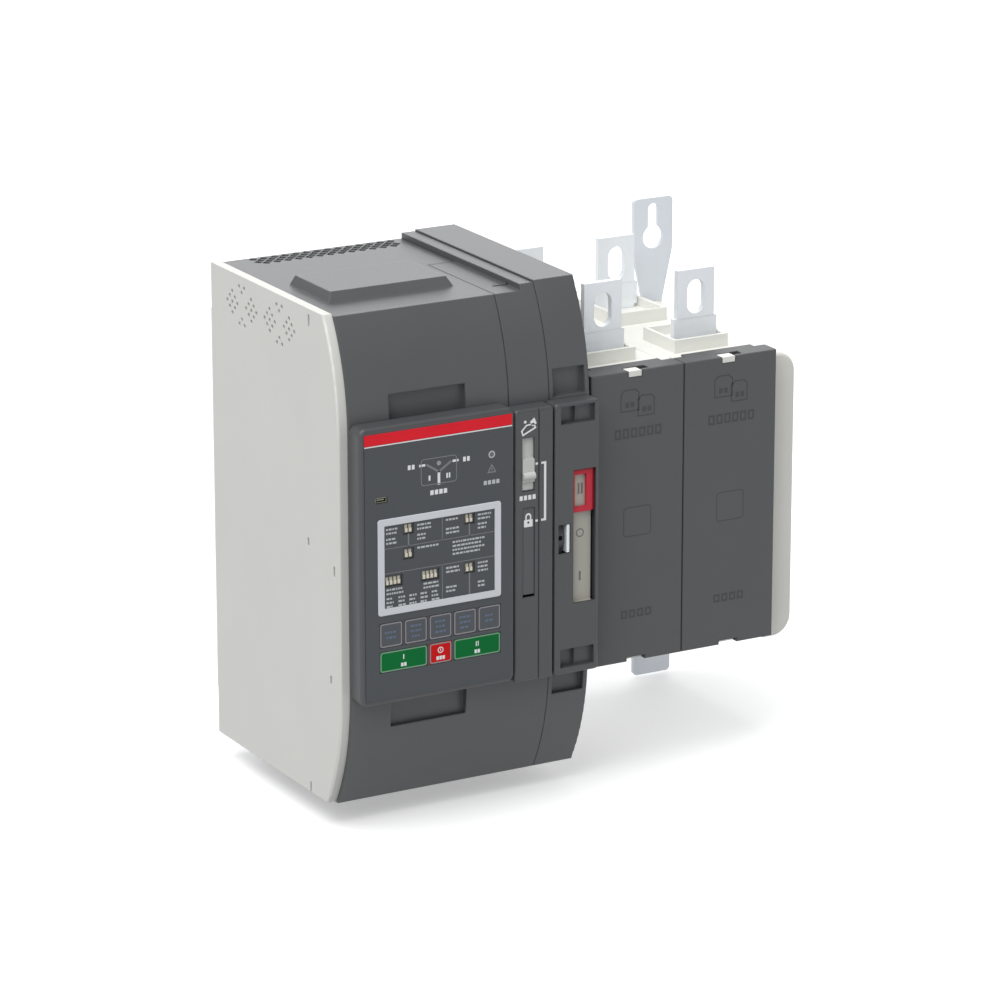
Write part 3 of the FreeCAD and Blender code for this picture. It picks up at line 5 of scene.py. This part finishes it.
import bpy
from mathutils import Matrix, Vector


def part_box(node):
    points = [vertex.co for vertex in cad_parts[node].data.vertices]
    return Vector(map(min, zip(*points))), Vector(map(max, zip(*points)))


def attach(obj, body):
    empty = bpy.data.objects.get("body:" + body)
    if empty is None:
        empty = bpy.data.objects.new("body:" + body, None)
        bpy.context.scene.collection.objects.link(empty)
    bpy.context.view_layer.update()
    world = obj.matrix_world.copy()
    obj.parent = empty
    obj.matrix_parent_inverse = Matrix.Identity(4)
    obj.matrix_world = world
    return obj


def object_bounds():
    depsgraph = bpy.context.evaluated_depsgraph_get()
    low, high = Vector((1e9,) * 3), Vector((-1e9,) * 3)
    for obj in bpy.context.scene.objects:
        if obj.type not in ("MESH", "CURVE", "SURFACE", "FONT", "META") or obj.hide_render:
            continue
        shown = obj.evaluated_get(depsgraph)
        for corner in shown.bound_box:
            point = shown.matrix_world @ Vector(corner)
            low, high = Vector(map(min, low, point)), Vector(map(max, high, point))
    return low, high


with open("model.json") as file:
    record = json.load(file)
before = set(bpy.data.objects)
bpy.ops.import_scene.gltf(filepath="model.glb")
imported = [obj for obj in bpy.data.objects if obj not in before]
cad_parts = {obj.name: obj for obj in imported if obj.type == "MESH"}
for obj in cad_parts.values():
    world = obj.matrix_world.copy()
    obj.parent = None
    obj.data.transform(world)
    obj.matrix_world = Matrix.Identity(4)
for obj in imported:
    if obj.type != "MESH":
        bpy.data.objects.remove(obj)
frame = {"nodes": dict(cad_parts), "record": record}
cad_low, cad_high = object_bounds()

# Automatic transfer switch. Places are in millimetres as on a drawing: X from the case's left face,
# Y 0 on the mounting plane and negative to the front, Z up from the case's bottom. place() turns
# them into the frame's metres.

CASE_MIDDLE = 83.2
CASE_HALF = 150.0
FILM = -181.3          # front of the control panel's film
SLOT_FLOOR = -180.22   # floor of the DIP switches' slots
STRIP = -180.0         # front of the selector strip
SLIDE = -179.6         # front of the locking slide
SCALE = -175.8         # front of the position scale
COVER = -163.0         # front of the pole covers
INK = 0.05             # how far a mark stands out of its face, and how far it reaches into it
random.seed(7)         # for the lengths of the printed dashes


def place(x, y, z):
    return Vector(((x - CASE_MIDDLE) / 1000, y / 1000, (z - CASE_HALF) / 1000))


# ---- materials -------------------------------------------------------------------------------

SMOOTH_GRAIN = 900     # grains are noise scales, in steps per metre
MOULDED_GRAIN = 1500
PRINTED_GRAIN = 2600
GRAIN_RELIEF = 0.0002  # metres
GLOSS_DRIFT = 0.06
DRIFT_SCALE = 22.0


def linear(level):
    """A colour level of 0 to 255 as linear light."""
    level /= 255
    return level / 12.92 if level <= 0.04045 else ((level + 0.055) / 1.055) ** 2.4


def shade(rgb, factor):
    return tuple(min(1.0, linear(c) * factor) for c in rgb) + (1.0,)


def surface(name, rgb, rough=0.5, metal=0.0, grain=SMOOTH_GRAIN, bump=0.12, mottle=0.05,
            streak=None, edge=0.0004, shine=0.5):
    """A procedural finish: fine grain in relief, a slow drift of colour and gloss, and edges
    softened by edge metres. streak stretches the grain along one axis, as on brushed or rolled
    metal. shine is the strength of the reflections on a surface that isn't metal."""
    material = bpy.data.materials.new(name)
    material.use_nodes = True
    nodes = material.node_tree.nodes
    links = material.node_tree.links
    shader = nodes["Principled BSDF"]
    shader.inputs["Metallic"].default_value = metal
    shader.inputs["Specular IOR Level"].default_value = shine
    where = nodes.new("ShaderNodeTexCoord")
    mapping = nodes.new("ShaderNodeMapping")
    if streak:
        mapping.inputs["Scale"].default_value = streak
    links.new(where.outputs["Object"], mapping.inputs["Vector"])

    drift = nodes.new("ShaderNodeTexNoise")
    drift.inputs["Scale"].default_value = DRIFT_SCALE
    drift.inputs["Detail"].default_value = 5.0
    links.new(mapping.outputs["Vector"], drift.inputs["Vector"])
    colour = nodes.new("ShaderNodeValToRGB")
    dark_end, light_end = colour.color_ramp.elements
    dark_end.position, light_end.position = 0.3, 0.7
    dark_end.color = shade(rgb, 1 - mottle)
    light_end.color = shade(rgb, 1 + mottle)
    links.new(drift.outputs["Fac"], colour.inputs["Fac"])
    links.new(colour.outputs["Color"], shader.inputs["Base Color"])

    fine = nodes.new("ShaderNodeTexNoise")
    fine.inputs["Scale"].default_value = grain
    fine.inputs["Detail"].default_value = 3.0
    links.new(mapping.outputs["Vector"], fine.inputs["Vector"])
    gloss = nodes.new("ShaderNodeMapRange")
    gloss.inputs["To Min"].default_value = rough - GLOSS_DRIFT
    gloss.inputs["To Max"].default_value = rough + GLOSS_DRIFT
    links.new(fine.outputs["Fac"], gloss.inputs["Value"])
    links.new(gloss.outputs["Result"], shader.inputs["Roughness"])

    relief = nodes.new("ShaderNodeBump")
    relief.inputs["Strength"].default_value = bump
    relief.inputs["Distance"].default_value = GRAIN_RELIEF
    links.new(fine.outputs["Fac"], relief.inputs["Height"])
    if edge:
        soft = nodes.new("ShaderNodeBevel")
        soft.samples = 4
        soft.inputs["Radius"].default_value = edge
        links.new(soft.outputs["Normal"], relief.inputs["Normal"])
    links.new(relief.outputs["Normal"], shader.inputs["Normal"])
    return material


def moulding(name, rgb, rough, bump, mottle=0.03, edge=0.0004):
    return surface(name, rgb, rough, grain=MOULDED_GRAIN, bump=bump, mottle=mottle, edge=edge)


def film(name, rgb, rough=0.45, bump=0.05, mottle=0.03, edge=0.0004, shine=0.5):
    return surface(name, rgb, rough, grain=PRINTED_GRAIN, bump=bump, mottle=mottle, edge=edge,
                   shine=shine)


def sheet_steel(name, rgb, rough, metal, grain, bump, mottle, streak=None):
    return surface(name, rgb, rough, metal, grain, bump, mottle, streak)


def ink(name, rgb, rough=0.5, grain=PRINTED_GRAIN, mottle=0.03):
    return surface(name, rgb, rough, grain=grain, mottle=mottle, edge=0)


BRUSHED = (1.0, 1.0, 0.06)
MATERIALS = {
    "side_panel": surface("light_grey_paint", (210, 210, 205), grain=1400, bump=0.10, mottle=0.015),
    "case_cover": moulding("dark_grey_moulding", (82, 84, 85), 0.44, 0.22, edge=0.0014),
    "case_frame": sheet_steel("zinc_sheet", (232, 236, 240), 0.42, 0.3, 260, 0.04, 0.06),
    "panel_body": moulding("panel_moulding", (71, 72, 74), 0.44, 0.2, edge=0.0008),
    "panel_film": film("printed_film", (60, 64, 69), bump=0.06, mottle=0.02, edge=0),
    "accent": film("red_stripe", (228, 30, 46), 0.4, edge=0, shine=0.2),
    "label_trim": film("label_trim", (214, 218, 223)),
    "socket_metal": surface("socket_metal", (158, 160, 140), 0.35, 0.8),
    "circuit_board": surface("circuit_board", (32, 92, 48), 0.4, grain=400, mottle=0.15),
    "dip_body": surface("dip_body", (70, 72, 70), mottle=0.04, edge=0.0001),
    "dip_lever": surface("dip_lever", (226, 220, 202), 0.45, mottle=0.03, edge=0.0001),
    "slider": surface("selector", (198, 199, 194), 0.46, mottle=0.03, edge=0.0007),
    "strip_dark": moulding("locking_slide", (76, 79, 81), 0.5, 0.2),
    "scale": surface("position_scale", (178, 176, 166), grain=1800, mottle=0.03, edge=0),
    "drive_steel": sheet_steel("drive_steel", (206, 212, 220), 0.3, 0.9, 700, 0.05, 0.05),
    "hub_moulding": surface("hub_moulding", (66, 69, 72), grain=1200, mottle=0.04, edge=0.0005),
    "gear_plastic": surface("gear_plastic", (224, 220, 206), mottle=0.04),
    "position_red": surface("position_red", (196, 44, 62), 0.45, mottle=0.04, shine=0.3),
    "coil": surface("coil_moulding", (60, 60, 63)),
    "pole_body": surface("off_white_moulding", (230, 230, 224), grain=1300, mottle=0.015),
    "cap_body": surface("end_cap_moulding", (228, 227, 220), grain=1300, mottle=0.02, edge=0.0008),
    "pole_cover": moulding("pole_cover_moulding", (80, 81, 82), 0.55, 0.25, edge=0.0008),
    "lug_metal": sheet_steel("tinned_copper", (238, 242, 246), 0.42, 0.2, 500, 0.05, 0.05, BRUSHED),
    "drum": surface("drum_moulding", (52, 52, 54)),
    "bolt_steel": surface("bolt_steel", (206, 210, 214), 0.35, 0.6, mottle=0.06),
    "bracket_steel": sheet_steel("bracket_steel", (226, 231, 237), 0.44, 0.2, 420, 0.05, 0.06,
                                 BRUSHED),
    "key_dark": film("key_film", (66, 71, 77)),
    "key_green": film("key_green", (2, 108, 50), mottle=0.04, shine=0.12),
    "key_red": film("key_red", (206, 24, 24), mottle=0.04, shine=0.12),
}
INKS = {
    "white": ink("ink_white", (236, 238, 238), mottle=0.02),
    "pale": ink("ink_pale", (190, 194, 196)),
    "grey": ink("ink_grey", (150, 154, 158)),
    "dim": ink("ink_dim", (120, 124, 128)),
    "blue": ink("ink_blue", (88, 104, 126), mottle=0.04),
    "outline": ink("ink_outline", (142, 138, 142)),
    "green_rim": ink("ink_green_rim", (120, 156, 130)),
    "beige": ink("switch_slot", (206, 200, 184), grain=SMOOTH_GRAIN),
    "dark": ink("ink_dark", (112, 110, 104), mottle=0.04),
    # dark ink: on the pole covers it is painted shade, in place of the shadow inside the moulded
    # marks; it also draws the padlock's printed keyhole and a thin dark frame round each switch
    "dark_print_and_painted_shade": ink("dark_print_and_painted_shade_ink", (62, 63, 64), 0.6, MOULDED_GRAIN, 0.04),
    "lamp": ink("lamp_lens", (96, 100, 96), 0.25, SMOOTH_GRAIN, 0.05),
}


def dress_cad():
    """Gives every CAD node the finish of its slot."""
    slots = {part["node"]: part["material_slot"] for part in frame["record"]["subparts"]}
    for node, obj in frame["nodes"].items():
        obj.data.materials.clear()
        obj.data.materials.append(MATERIALS[slots[node]])


# ---- outlines and marks ----------------------------------------------------------------------

def circle(x, z, radius, count=40):
    turn = [math.tau * i / count for i in range(count)]
    return [(x + radius * math.cos(a), z + radius * math.sin(a)) for a in turn]


def soft_rectangle(x0, x1, z0, z1, radius, count=6):
    """A rectangle with round corners of count steps each."""
    corners = ((x1, z1, 0), (x0, z1, 90), (x0, z0, 180), (x1, z0, 270))
    points = []
    for x, z, start in corners:
        cx = x - math.copysign(radius, x - (x0 + x1) / 2)
        cz = z - math.copysign(radius, z - (z0 + z1) / 2)
        for i in range(count + 1):
            a = math.radians(start + 90 * i / count)
            points.append((cx + radius * math.cos(a), cz + radius * math.sin(a)))
    return points


def rectangle(x0, x1, z0, z1):
    return [(x0, z0), (x1, z0), (x1, z1), (x0, z1)]


def stroke(a, b, width):
    """A straight line from a to b, as a thin rectangle that runs half a width past each end."""
    along = Vector((b[0] - a[0], b[1] - a[1])).normalized() * width / 2
    across = Vector((-along.y, along.x))
    start, end = Vector(a) - along, Vector(b) + along
    return [tuple(start - across), tuple(end - across), tuple(end + across), tuple(start + across)]


def tab(x0, x1, z0, z1, chamfer):
    """A card's outline with both upper corners cut off."""
    return [(x0, z0), (x1, z0), (x1, z1 - chamfer), (x1 - chamfer, z1), (x0 + chamfer, z1),
            (x0, z1 - chamfer)]


def arch(x, z, half, rise, count=12):
    """A padlock's shackle: upright sides from z to rise above it, and a round top."""
    turn = [math.pi * i / count for i in range(count + 1)]
    top = [(x + half * math.cos(a), z + rise + half * math.sin(a)) for a in turn]
    return [(x + half, z)] + top + [(x - half, z)]


class Sheet:
    """Marks of one colour on one front-facing surface, gathered into one piece."""

    def __init__(self, name, finish, body, front, depth=INK, slot="panel_film"):
        self.name, self.finish, self.body, self.slot = name, finish, body, slot
        self.front, self.depth = front, depth
        self.points, self.faces = [], []

    def add_outline(self, outline):
        """Lays the outline's points in front of the surface, then behind it."""
        for y in (self.front - self.depth, self.front + self.depth):
            self.points += [place(x, y, z) for x, z in outline]

    def join(self, a, b):
        """Faces between two loops of points."""
        for i in range(len(a)):
            k = (i + 1) % len(a)
            self.faces.append([a[k], a[i], b[i], b[k]])

    def fill(self, outline):
        """A solid mark inside an outline."""
        start, count = len(self.points), len(outline)
        self.add_outline(outline)
        near = [start + i for i in range(count)]
        far = [start + count + i for i in range(count)]
        self.faces.append(near)
        self.faces.append(far[::-1])
        self.join(near, far)

    def ring(self, outer, inner):
        """A mark between two outlines with the same number of points."""
        start, count = len(self.points), len(outer)
        for outline in (outer, inner):
            self.add_outline(outline)
        outer_near, outer_far, inner_near, inner_far = (
            [start + k * count + i for i in range(count)] for k in range(4))
        self.join(outer_near, outer_far)
        self.join(outer_far, inner_far)
        self.join(inner_far, inner_near)
        self.join(inner_near, outer_near)

    def hoop(self, x, z, radius, width):
        self.ring(circle(x, z, radius), circle(x, z, radius - width))

    def frame(self, x0, x1, z0, z1, radius, width):
        inner_radius = max(radius - width, 0.05)
        self.ring(soft_rectangle(x0, x1, z0, z1, radius),
                  soft_rectangle(x0 + width, x1 - width, z0 + width, z1 - width, inner_radius))

    def bar(self, x0, x1, z0, z1):
        self.fill(rectangle(x0, x1, z0, z1))

    def line(self, a, b, width):
        self.fill(stroke(a, b, width))

    def one(self, x, z, tall, width):
        """The mark I, round its middle."""
        self.bar(x - width / 2, x + width / 2, z - tall / 2, z + tall / 2)

    def two(self, x, z, tall, width, gap):
        """The mark II, with its strokes gap either side of the middle."""
        self.one(x - gap, z, tall, width)
        self.one(x + gap, z, tall, width)

    def letters(self, x, z0, z1, count, step, width):
        """A short word from x, shown as plain blocks."""
        for i in range(count):
            self.bar(x + step * i, x + step * i + width, z0, z1)

    def words(self, x, z, width, height=1.15, spread=0.25):
        """A printed line shown as a row of short dashes."""
        end = x + width * (1 - spread * random.random())
        while x < end - 0.6:
            long = min(end - x, random.uniform(0.9, 2.6))
            self.bar(x, x + long, z, z + height)
            x += long + 0.5

    def blocks(self, x, z, count, step, tall):
        """A row of plain hollow blocks round x, as wide as a moulded word."""
        edge, hollow_side, hollow_end = 0.6, 1.8, 1.3
        left = x - count * step / 2
        for i in range(count):
            x0, x1 = left + i * step, left + (i + 1) * step
            self.ring(rectangle(x0 + edge, x1 - edge, z, z + tall),
                      rectangle(x0 + hollow_side, x1 - hollow_side, z + hollow_end,
                                z + tall - hollow_end))

    def done(self):
        mesh = bpy.data.meshes.new(self.name)
        mesh.from_pydata(self.points, [], self.faces)
        mesh.validate()
        obj = bpy.data.objects.new(self.name, mesh)
        bpy.context.scene.collection.objects.link(obj)
        mesh.materials.append(INKS[self.finish])
        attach(obj, self.body)


# ---- control panel ---------------------------------------------------------------------------

MIMIC_BORDER = (45.6, 69.4, 198.0, 214.2)      # left, right, low, high
MIMIC_MIDDLE = 57.5
MIMIC_KNOT = 205.4                             # where the two ways meet
MIMIC_SOURCE = 210.5                           # height of both sources
MIMIC_POSITION = 202.3                         # height of the marks I and II
STATUS_MIDDLE = 92.6
STATUS_LAMP = 210.7
TRIANGLE_OUTSIDE = ((-3.1, 199.6), (3.1, 199.6), (0, 205.2))
TRIANGLE_INSIDE = ((-1.8, 200.4), (1.8, 200.4), (0, 203.6))


def mimic_diagram():
    """Two sources, one load and the three switch positions between them."""
    middle = MIMIC_MIDDLE
    dim = Sheet("mimic_border", "dim", "frame", FILM)
    dim.frame(*MIMIC_BORDER, 2.2, 0.5)
    for side in (-1, 1):
        dim.line((middle + side * 0.4, MIMIC_KNOT + 0.2),
                 (middle + side * 7.6, MIMIC_SOURCE - 0.2), 1.3)
    dim.done()
    sheet = Sheet("mimic_lines", "white", "frame", FILM)
    for side in (-1, 1):
        near, far = sorted((middle + side * 9.0, middle + side * 13.0))
        sheet.bar(near, far, MIMIC_SOURCE - 0.7, MIMIC_SOURCE + 0.7)
        left = middle + side * 18.2 - 2.2
        sheet.letters(left, MIMIC_SOURCE - 1.4, MIMIC_SOURCE + 1.4, 2, 2.6, 1.8)
    sheet.bar(middle - 0.85, middle + 0.85, MIMIC_BORDER[2] - 0.4, MIMIC_KNOT)
    sheet.one(middle - 6.2, MIMIC_POSITION, 3.0, 1.2)
    sheet.two(middle + 6.2, MIMIC_POSITION, 3.0, 1.0, 0.8)
    sheet.letters(middle - 5.7, 191.9, 194.7, 4, 2.95, 2.2)
    sheet.done()
    disc = Sheet("mimic_disc", "grey", "frame", FILM)
    disc.fill(circle(middle, MIMIC_SOURCE, 1.4))
    disc.done()


def status_lamps():
    """A ringed lamp above a warning triangle and a word."""
    x = STATUS_MIDDLE
    sheet = Sheet("status_marks", "pale", "frame", FILM)
    sheet.hoop(x, STATUS_LAMP, 2.2, 0.75)
    sheet.letters(x - 5.4, 192.7, 195.2, 4, 2.8, 2.1)
    sheet.done()
    warning = Sheet("status_triangle", "dim", "frame", FILM)
    warning.ring([(x + dx, z) for dx, z in TRIANGLE_OUTSIDE],
                 [(x + dx, z) for dx, z in TRIANGLE_INSIDE])
    warning.bar(x - 0.35, x + 0.35, 200.8, 202.6)
    warning.done()
    lens = Sheet("status_lens", "lamp", "frame", FILM)
    lens.fill(circle(x, STATUS_LAMP, 1.4))
    lens.done()


LABEL = (21.2, 94.4, 127.6, 177.6)       # inside of the label frame: left, right, low, high
RULE = 59.6                              # the upright rule
RULES = (163.6, 148.6)                   # the level rules
LEVER_PITCH = 2.54
SWITCHES = (                             # middle across and up, levers, end of its lead line
    (37.3, 174.0, 2, 163.8), (77.6, 174.0, 2, 163.8), (37.3, 158.9, 2, None),
    (77.6, 144.0, 2, LABEL[2]), (27.2, 143.8, 4, None), (51.4, 143.8, 4, None),
)
ROW_STEP = 2.4
PRINT = (                                # left, height of the first row, rows, width
    (22.6, 174.6, 2, 8.0), (22.6, 168.6, 2, 7.0), (43.0, 174.6, 2, 11.0), (43.0, 168.6, 2, 6.5),
    (62.0, 174.8, 1, 9.0), (62.0, 169.2, 2, 12.0), (83.2, 174.8, 2, 10.0), (83.2, 169.2, 2, 7.0),
    (43.0, 160.8, 1, 17.0), (66.4, 160.6, 4, 22.0),
    (22.6, 138.0, 2, 12.0), (22.6, 132.6, 3, 5.0), (30.4, 132.6, 3, 5.0), (37.6, 132.6, 3, 5.0),
    (45.0, 132.6, 3, 5.0), (52.4, 132.6, 3, 5.6), (47.0, 138.2, 2, 11.0),
    (62.0, 145.4, 2, 11.0), (62.0, 133.6, 2, 8.0), (83.2, 145.4, 3, 8.0), (83.2, 133.8, 2, 6.0),
)


def setting_field():
    """The ruled field round the DIP switches, with printed lines beside each."""
    left, right, low, high = LABEL
    rules = Sheet("setting_rules", "dim", "frame", FILM)
    for z in RULES:
        rules.line((left, z), (right, z), 0.4)
    rules.line((RULE, RULES[0]), (RULE, high), 0.4)
    rules.line((RULE, low), (RULE, RULES[1]), 0.4)
    for x, z, levers, lead in SWITCHES:
        if lead:
            rules.line((x, lead), (x, z - 3.6), 0.9)
    rules.done()
    print_lines = Sheet("setting_print", "pale", "frame", FILM)
    for x, z, rows, width in PRINT:
        for row in range(rows):
            print_lines.words(x, z - ROW_STEP * row, width)
    print_lines.done()
    slots = Sheet("switch_slots", "beige", "frame", SLOT_FLOOR, slot="dip_lever")
    for index, (x, z, levers, lead) in enumerate(SWITCHES):
        halo = Sheet("switch_surround_%d" % index, "dark_print_and_painted_shade", "frame", FILM, depth=0.03)
        half = levers * LEVER_PITCH / 2 + 1.5
        halo.frame(x - half, x + half, z - 3.9, z + 3.9, 0.5, 0.45)
        halo.done()
        for lever in range(levers):
            middle = x + (lever - (levers - 1) / 2) * LEVER_PITCH
            slots.bar(middle - 0.95, middle + 0.95, z - 2.4, z + 2.4)
    slots.done()


KEY_ROWS = {                             # printed rows on each key; 0 is a position or a symbol
    "key_lamp_test": 2, "key_source_one_test": 3, "key_source_two_test": 3, "key_engine": 3,
    "key_auto": 2, "key_one_on": 0, "key_off": 0, "key_two_on": 0,
}
KEY_ROW_STEP = 3.2


def key_faces():
    """Each key's outline and marks, which move with the key."""
    for node, rows in KEY_ROWS.items():
        low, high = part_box(node)
        x0 = low.x * 1000 + CASE_MIDDLE
        x1 = high.x * 1000 + CASE_MIDDLE
        z0 = low.z * 1000 + CASE_HALF
        z1 = high.z * 1000 + CASE_HALF
        x, z = (x0 + x1) / 2, (z0 + z1) / 2
        rim = "green_rim" if node in ("key_one_on", "key_two_on") else "outline"
        edge = Sheet(node + "_outline", rim, node, FILM, slot="key_dark")
        edge.frame(x0 + 0.1, x1 - 0.1, z0 + 0.1, z1 - 0.1, 1.6, 0.75)
        edge.done()
        sheet = Sheet(node + "_print", "blue" if rows else "white", node, FILM, slot="key_dark")
        for row in range(rows):
            half = random.uniform(2.6, 4.6)
            level = z + (rows - 1) * KEY_ROW_STEP / 2 - row * KEY_ROW_STEP
            sheet.words(x - half, level - 0.65, 2 * half, 1.3, spread=0)
        if node == "key_one_on":
            sheet.one(x, z + 1.6, 3.0, 0.7)
            sheet.letters(x - 1.8, z - 4.2, z - 2.0, 2, 2.0, 1.6)
        elif node == "key_two_on":
            sheet.two(x, z + 1.6, 3.0, 0.6, 0.65)
            sheet.letters(x - 1.8, z - 4.2, z - 2.0, 2, 2.0, 1.6)
        elif node == "key_off":
            sheet.hoop(x, z + 1.7, 1.9, 0.55)
            sheet.one(x, z + 1.9, 1.6, 0.45)
            sheet.letters(x - 2.8, z - 4.2, z - 2.0, 3, 2.0, 1.6)
        sheet.done()


def stripe_line():
    """The white line under the red stripe."""
    sheet = Sheet("stripe_line", "white", "frame", FILM)
    sheet.bar(8.9, 106.2, 225.95, 226.6)
    sheet.done()


# ---- selector strip and position strip -------------------------------------------------------

HAND_OUTSIDE = [(112.8, 221.4), (114.0, 218.1), (123.2, 222.2), (121.6, 225.4), (116.4, 224.9)]
HAND_INSIDE = [(113.9, 221.1), (114.5, 219.4), (121.9, 222.7), (121.1, 224.5), (116.7, 224.0)]
SLEEVE = [(118.9, 226.4), (120.4, 223.4), (123.4, 225.0), (121.8, 228.6)]
TIE_HIGH, TIE_LOW = 200.3, 165.4         # arms of the bracket from the selector to the padlock
TIE_HALF = 0.65                          # half its line's width
PADLOCK = (118.1, 164.8)


def strip_marks():
    sheet = Sheet("strip_marks", "white", "frame", STRIP, slot="panel_body")
    # a hand on a lever, for the manual position
    sheet.ring(HAND_OUTSIDE, HAND_INSIDE)
    sheet.fill(SLEEVE)
    sheet.fill(circle(115.7, 226.6, 0.9, 20))
    # the automatic position, below the slot
    sheet.letters(112.0, 179.0, 181.8, 4, 2.9, 2.1)
    # bracket that ties the selector to the padlock, broken where the strip's groove runs
    for z in (TIE_HIGH, TIE_LOW):
        sheet.bar(122.7, 124.3, z - TIE_HALF, z + TIE_HALF)
        sheet.bar(126.6, 128.4, z - TIE_HALF, z + TIE_HALF)
    sheet.bar(128.45, 129.95, TIE_LOW - TIE_HALF, TIE_HIGH + TIE_HALF)
    sheet.done()
    x, z = PADLOCK
    lock = Sheet("padlock_mark", "white", "padlock_slide", SLIDE, slot="strip_dark")
    lock.fill(soft_rectangle(x - 2.9, x + 2.9, z - 2.6, z + 1.9, 0.4))
    lock.ring(arch(x, z + 1.8, 2.0, 2.0), arch(x, z + 1.8, 1.1, 1.8))
    lock.done()
    hole = Sheet("padlock_keyhole", "dark_print_and_painted_shade", "padlock_slide", SLIDE - INK, slot="strip_dark")
    hole.fill(circle(x, z + 0.1, 0.7, 20))
    hole.done()


def scale_marks():
    """The marks II, O and I that the red frame passes."""
    sheet = Sheet("scale_marks", "dark", "frame", SCALE, slot="scale")
    x = 155.5
    sheet.two(x, 179.4, 6.8, 1.3, 1.1)
    sheet.hoop(x, 152.0, 2.7, 0.7)
    sheet.one(x, 125.3, 5.8, 1.4)
    sheet.done()


# ---- poles -----------------------------------------------------------------------------------

POLE_MARKS = (202.5, 267.9)              # middle of each cover's marks
CARDS = ((-12.0, 1.2, 217.4, 231.2), (-0.2, 11.8, 213.6, 226.8))  # left and right of it, low, high


def pole_cover_marks():
    """Shallow moulded marks: two overlapping cards and a row of blocks at the top, a plain square,
    and a row of blocks at the bottom. They are drawn as flat sheets whose dark colour is painted
    shade, in place of the shadow inside the moulded relief."""
    for index, x in enumerate(POLE_MARKS):
        name = "pole_cover_marks_%d" % (index + 1)
        # a flat dark sheet: painted shade for the moulded marks' relief
        sheet = Sheet(name, "dark_print_and_painted_shade", "frame", COVER, slot="pole_cover")
        for left, right, z0, z1 in CARDS:
            x0, x1 = x + left, x + right
            sheet.ring(tab(x0, x1, z0, z1, 2.4), tab(x0 + 0.8, x1 - 0.8, z0 + 0.8, z1 - 0.8, 2.1))
            sheet.letters(x0 + 3.4, z0 + 2.6, z0 + 5.8, 2, 3.6, 2.6)
        sheet.blocks(x + 0.4, 201.0, 6, 5.6, 6.2)
        sheet.frame(x - 9.4, x + 10.0, 139.4, 158.0, 2.4, 0.6)
        sheet.blocks(x, 88.2, 4, 5.6, 5.2)
        sheet.done()


# ---- studio ----------------------------------------------------------------------------------

SKY_COLOUR = (0.97, 0.98, 1.0, 1)
SKY_STRENGTH = 0.5
SUN_ENERGY = 2.05
SUN_SPREAD = math.radians(50)
SUN_DIRECTION = Vector((0.30, 0.12, -1.0))
LAMPS = (                                # name, width, height, watts, metres from the part's middle
    ("softbox", 1.5, 1.5, 26.0, Vector((-1.9, -1.5, 1.9))),
    ("back_light", 4.0, 2.6, 66.0, Vector((1.9, 3.4, 1.2))),
)
FLOOR_REACH = 12.0
FLOOR_GAP = 0.002
FLOOR_GLOW = 0.35
EYE = place(-1232.0, -2541.0, 1002.6)
AIM = place(149.55, -90.0, 150.4)
FOCAL_LENGTH = 174.5
SENSOR_WIDTH = 36.0


def add_object(name, data):
    obj = bpy.data.objects.new(name, data)
    bpy.context.scene.collection.objects.link(obj)
    return obj


def turn_to(obj, direction):
    """Turns a light or the camera to look along a direction."""
    obj.rotation_euler = direction.to_track_quat("-Z", "Y").to_euler()


def studio():
    scene = bpy.context.scene
    scene.view_settings.view_transform = "Standard"
    scene.view_settings.look = "None"
    scene.world = bpy.data.worlds.new("studio")
    scene.world.use_nodes = True
    background = scene.world.node_tree.nodes["Background"]
    background.inputs["Color"].default_value = SKY_COLOUR
    background.inputs["Strength"].default_value = SKY_STRENGTH
    sun = bpy.data.lights.new("overhead", "SUN")
    sun.energy = SUN_ENERGY
    sun.angle = SUN_SPREAD
    turn_to(add_object("overhead", sun), SUN_DIRECTION)
    for name, wide, tall, energy, offset in LAMPS:
        lamp = bpy.data.lights.new(name, "AREA")
        lamp.shape = "RECTANGLE"
        lamp.size, lamp.size_y = wide, tall
        lamp.energy = energy
        holder = add_object(name, lamp)
        holder.location = (cad_low + cad_high) / 2 + offset
        turn_to(holder, -offset)
        holder.visible_camera = False


def pale_floor():
    """A floor that casts no light back on the front faces."""
    level = cad_low.z - FLOOR_GAP
    corners = rectangle(-FLOOR_REACH, FLOOR_REACH, -FLOOR_REACH, FLOOR_REACH)
    mesh = bpy.data.meshes.new("floor")
    mesh.from_pydata([(x, y, level) for x, y in corners], [], [(0, 1, 2, 3)])
    finish = surface("pale_floor", (226, 226, 226), 0.75, grain=40, bump=0, mottle=0.004, edge=0)
    shader = finish.node_tree.nodes["Principled BSDF"]
    shader.inputs["Emission Color"].default_value = (1, 1, 1, 1)
    shader.inputs["Emission Strength"].default_value = FLOOR_GLOW
    mesh.materials.append(finish)
    floor = add_object("floor", mesh)
    floor.visible_diffuse = False


def camera():
    data = bpy.data.cameras.new("camera")
    data.lens = FOCAL_LENGTH
    data.sensor_width = SENSOR_WIDTH
    data.clip_start = 0.05
    data.clip_end = 60.0
    obj = add_object("camera", data)
    obj.location = EYE
    turn_to(obj, AIM - EYE)
    bpy.context.scene.camera = obj


dress_cad()
mimic_diagram()
status_lamps()
setting_field()
key_faces()
stripe_line()
strip_marks()
scale_marks()
pole_cover_marks()
studio()
pale_floor()
camera()
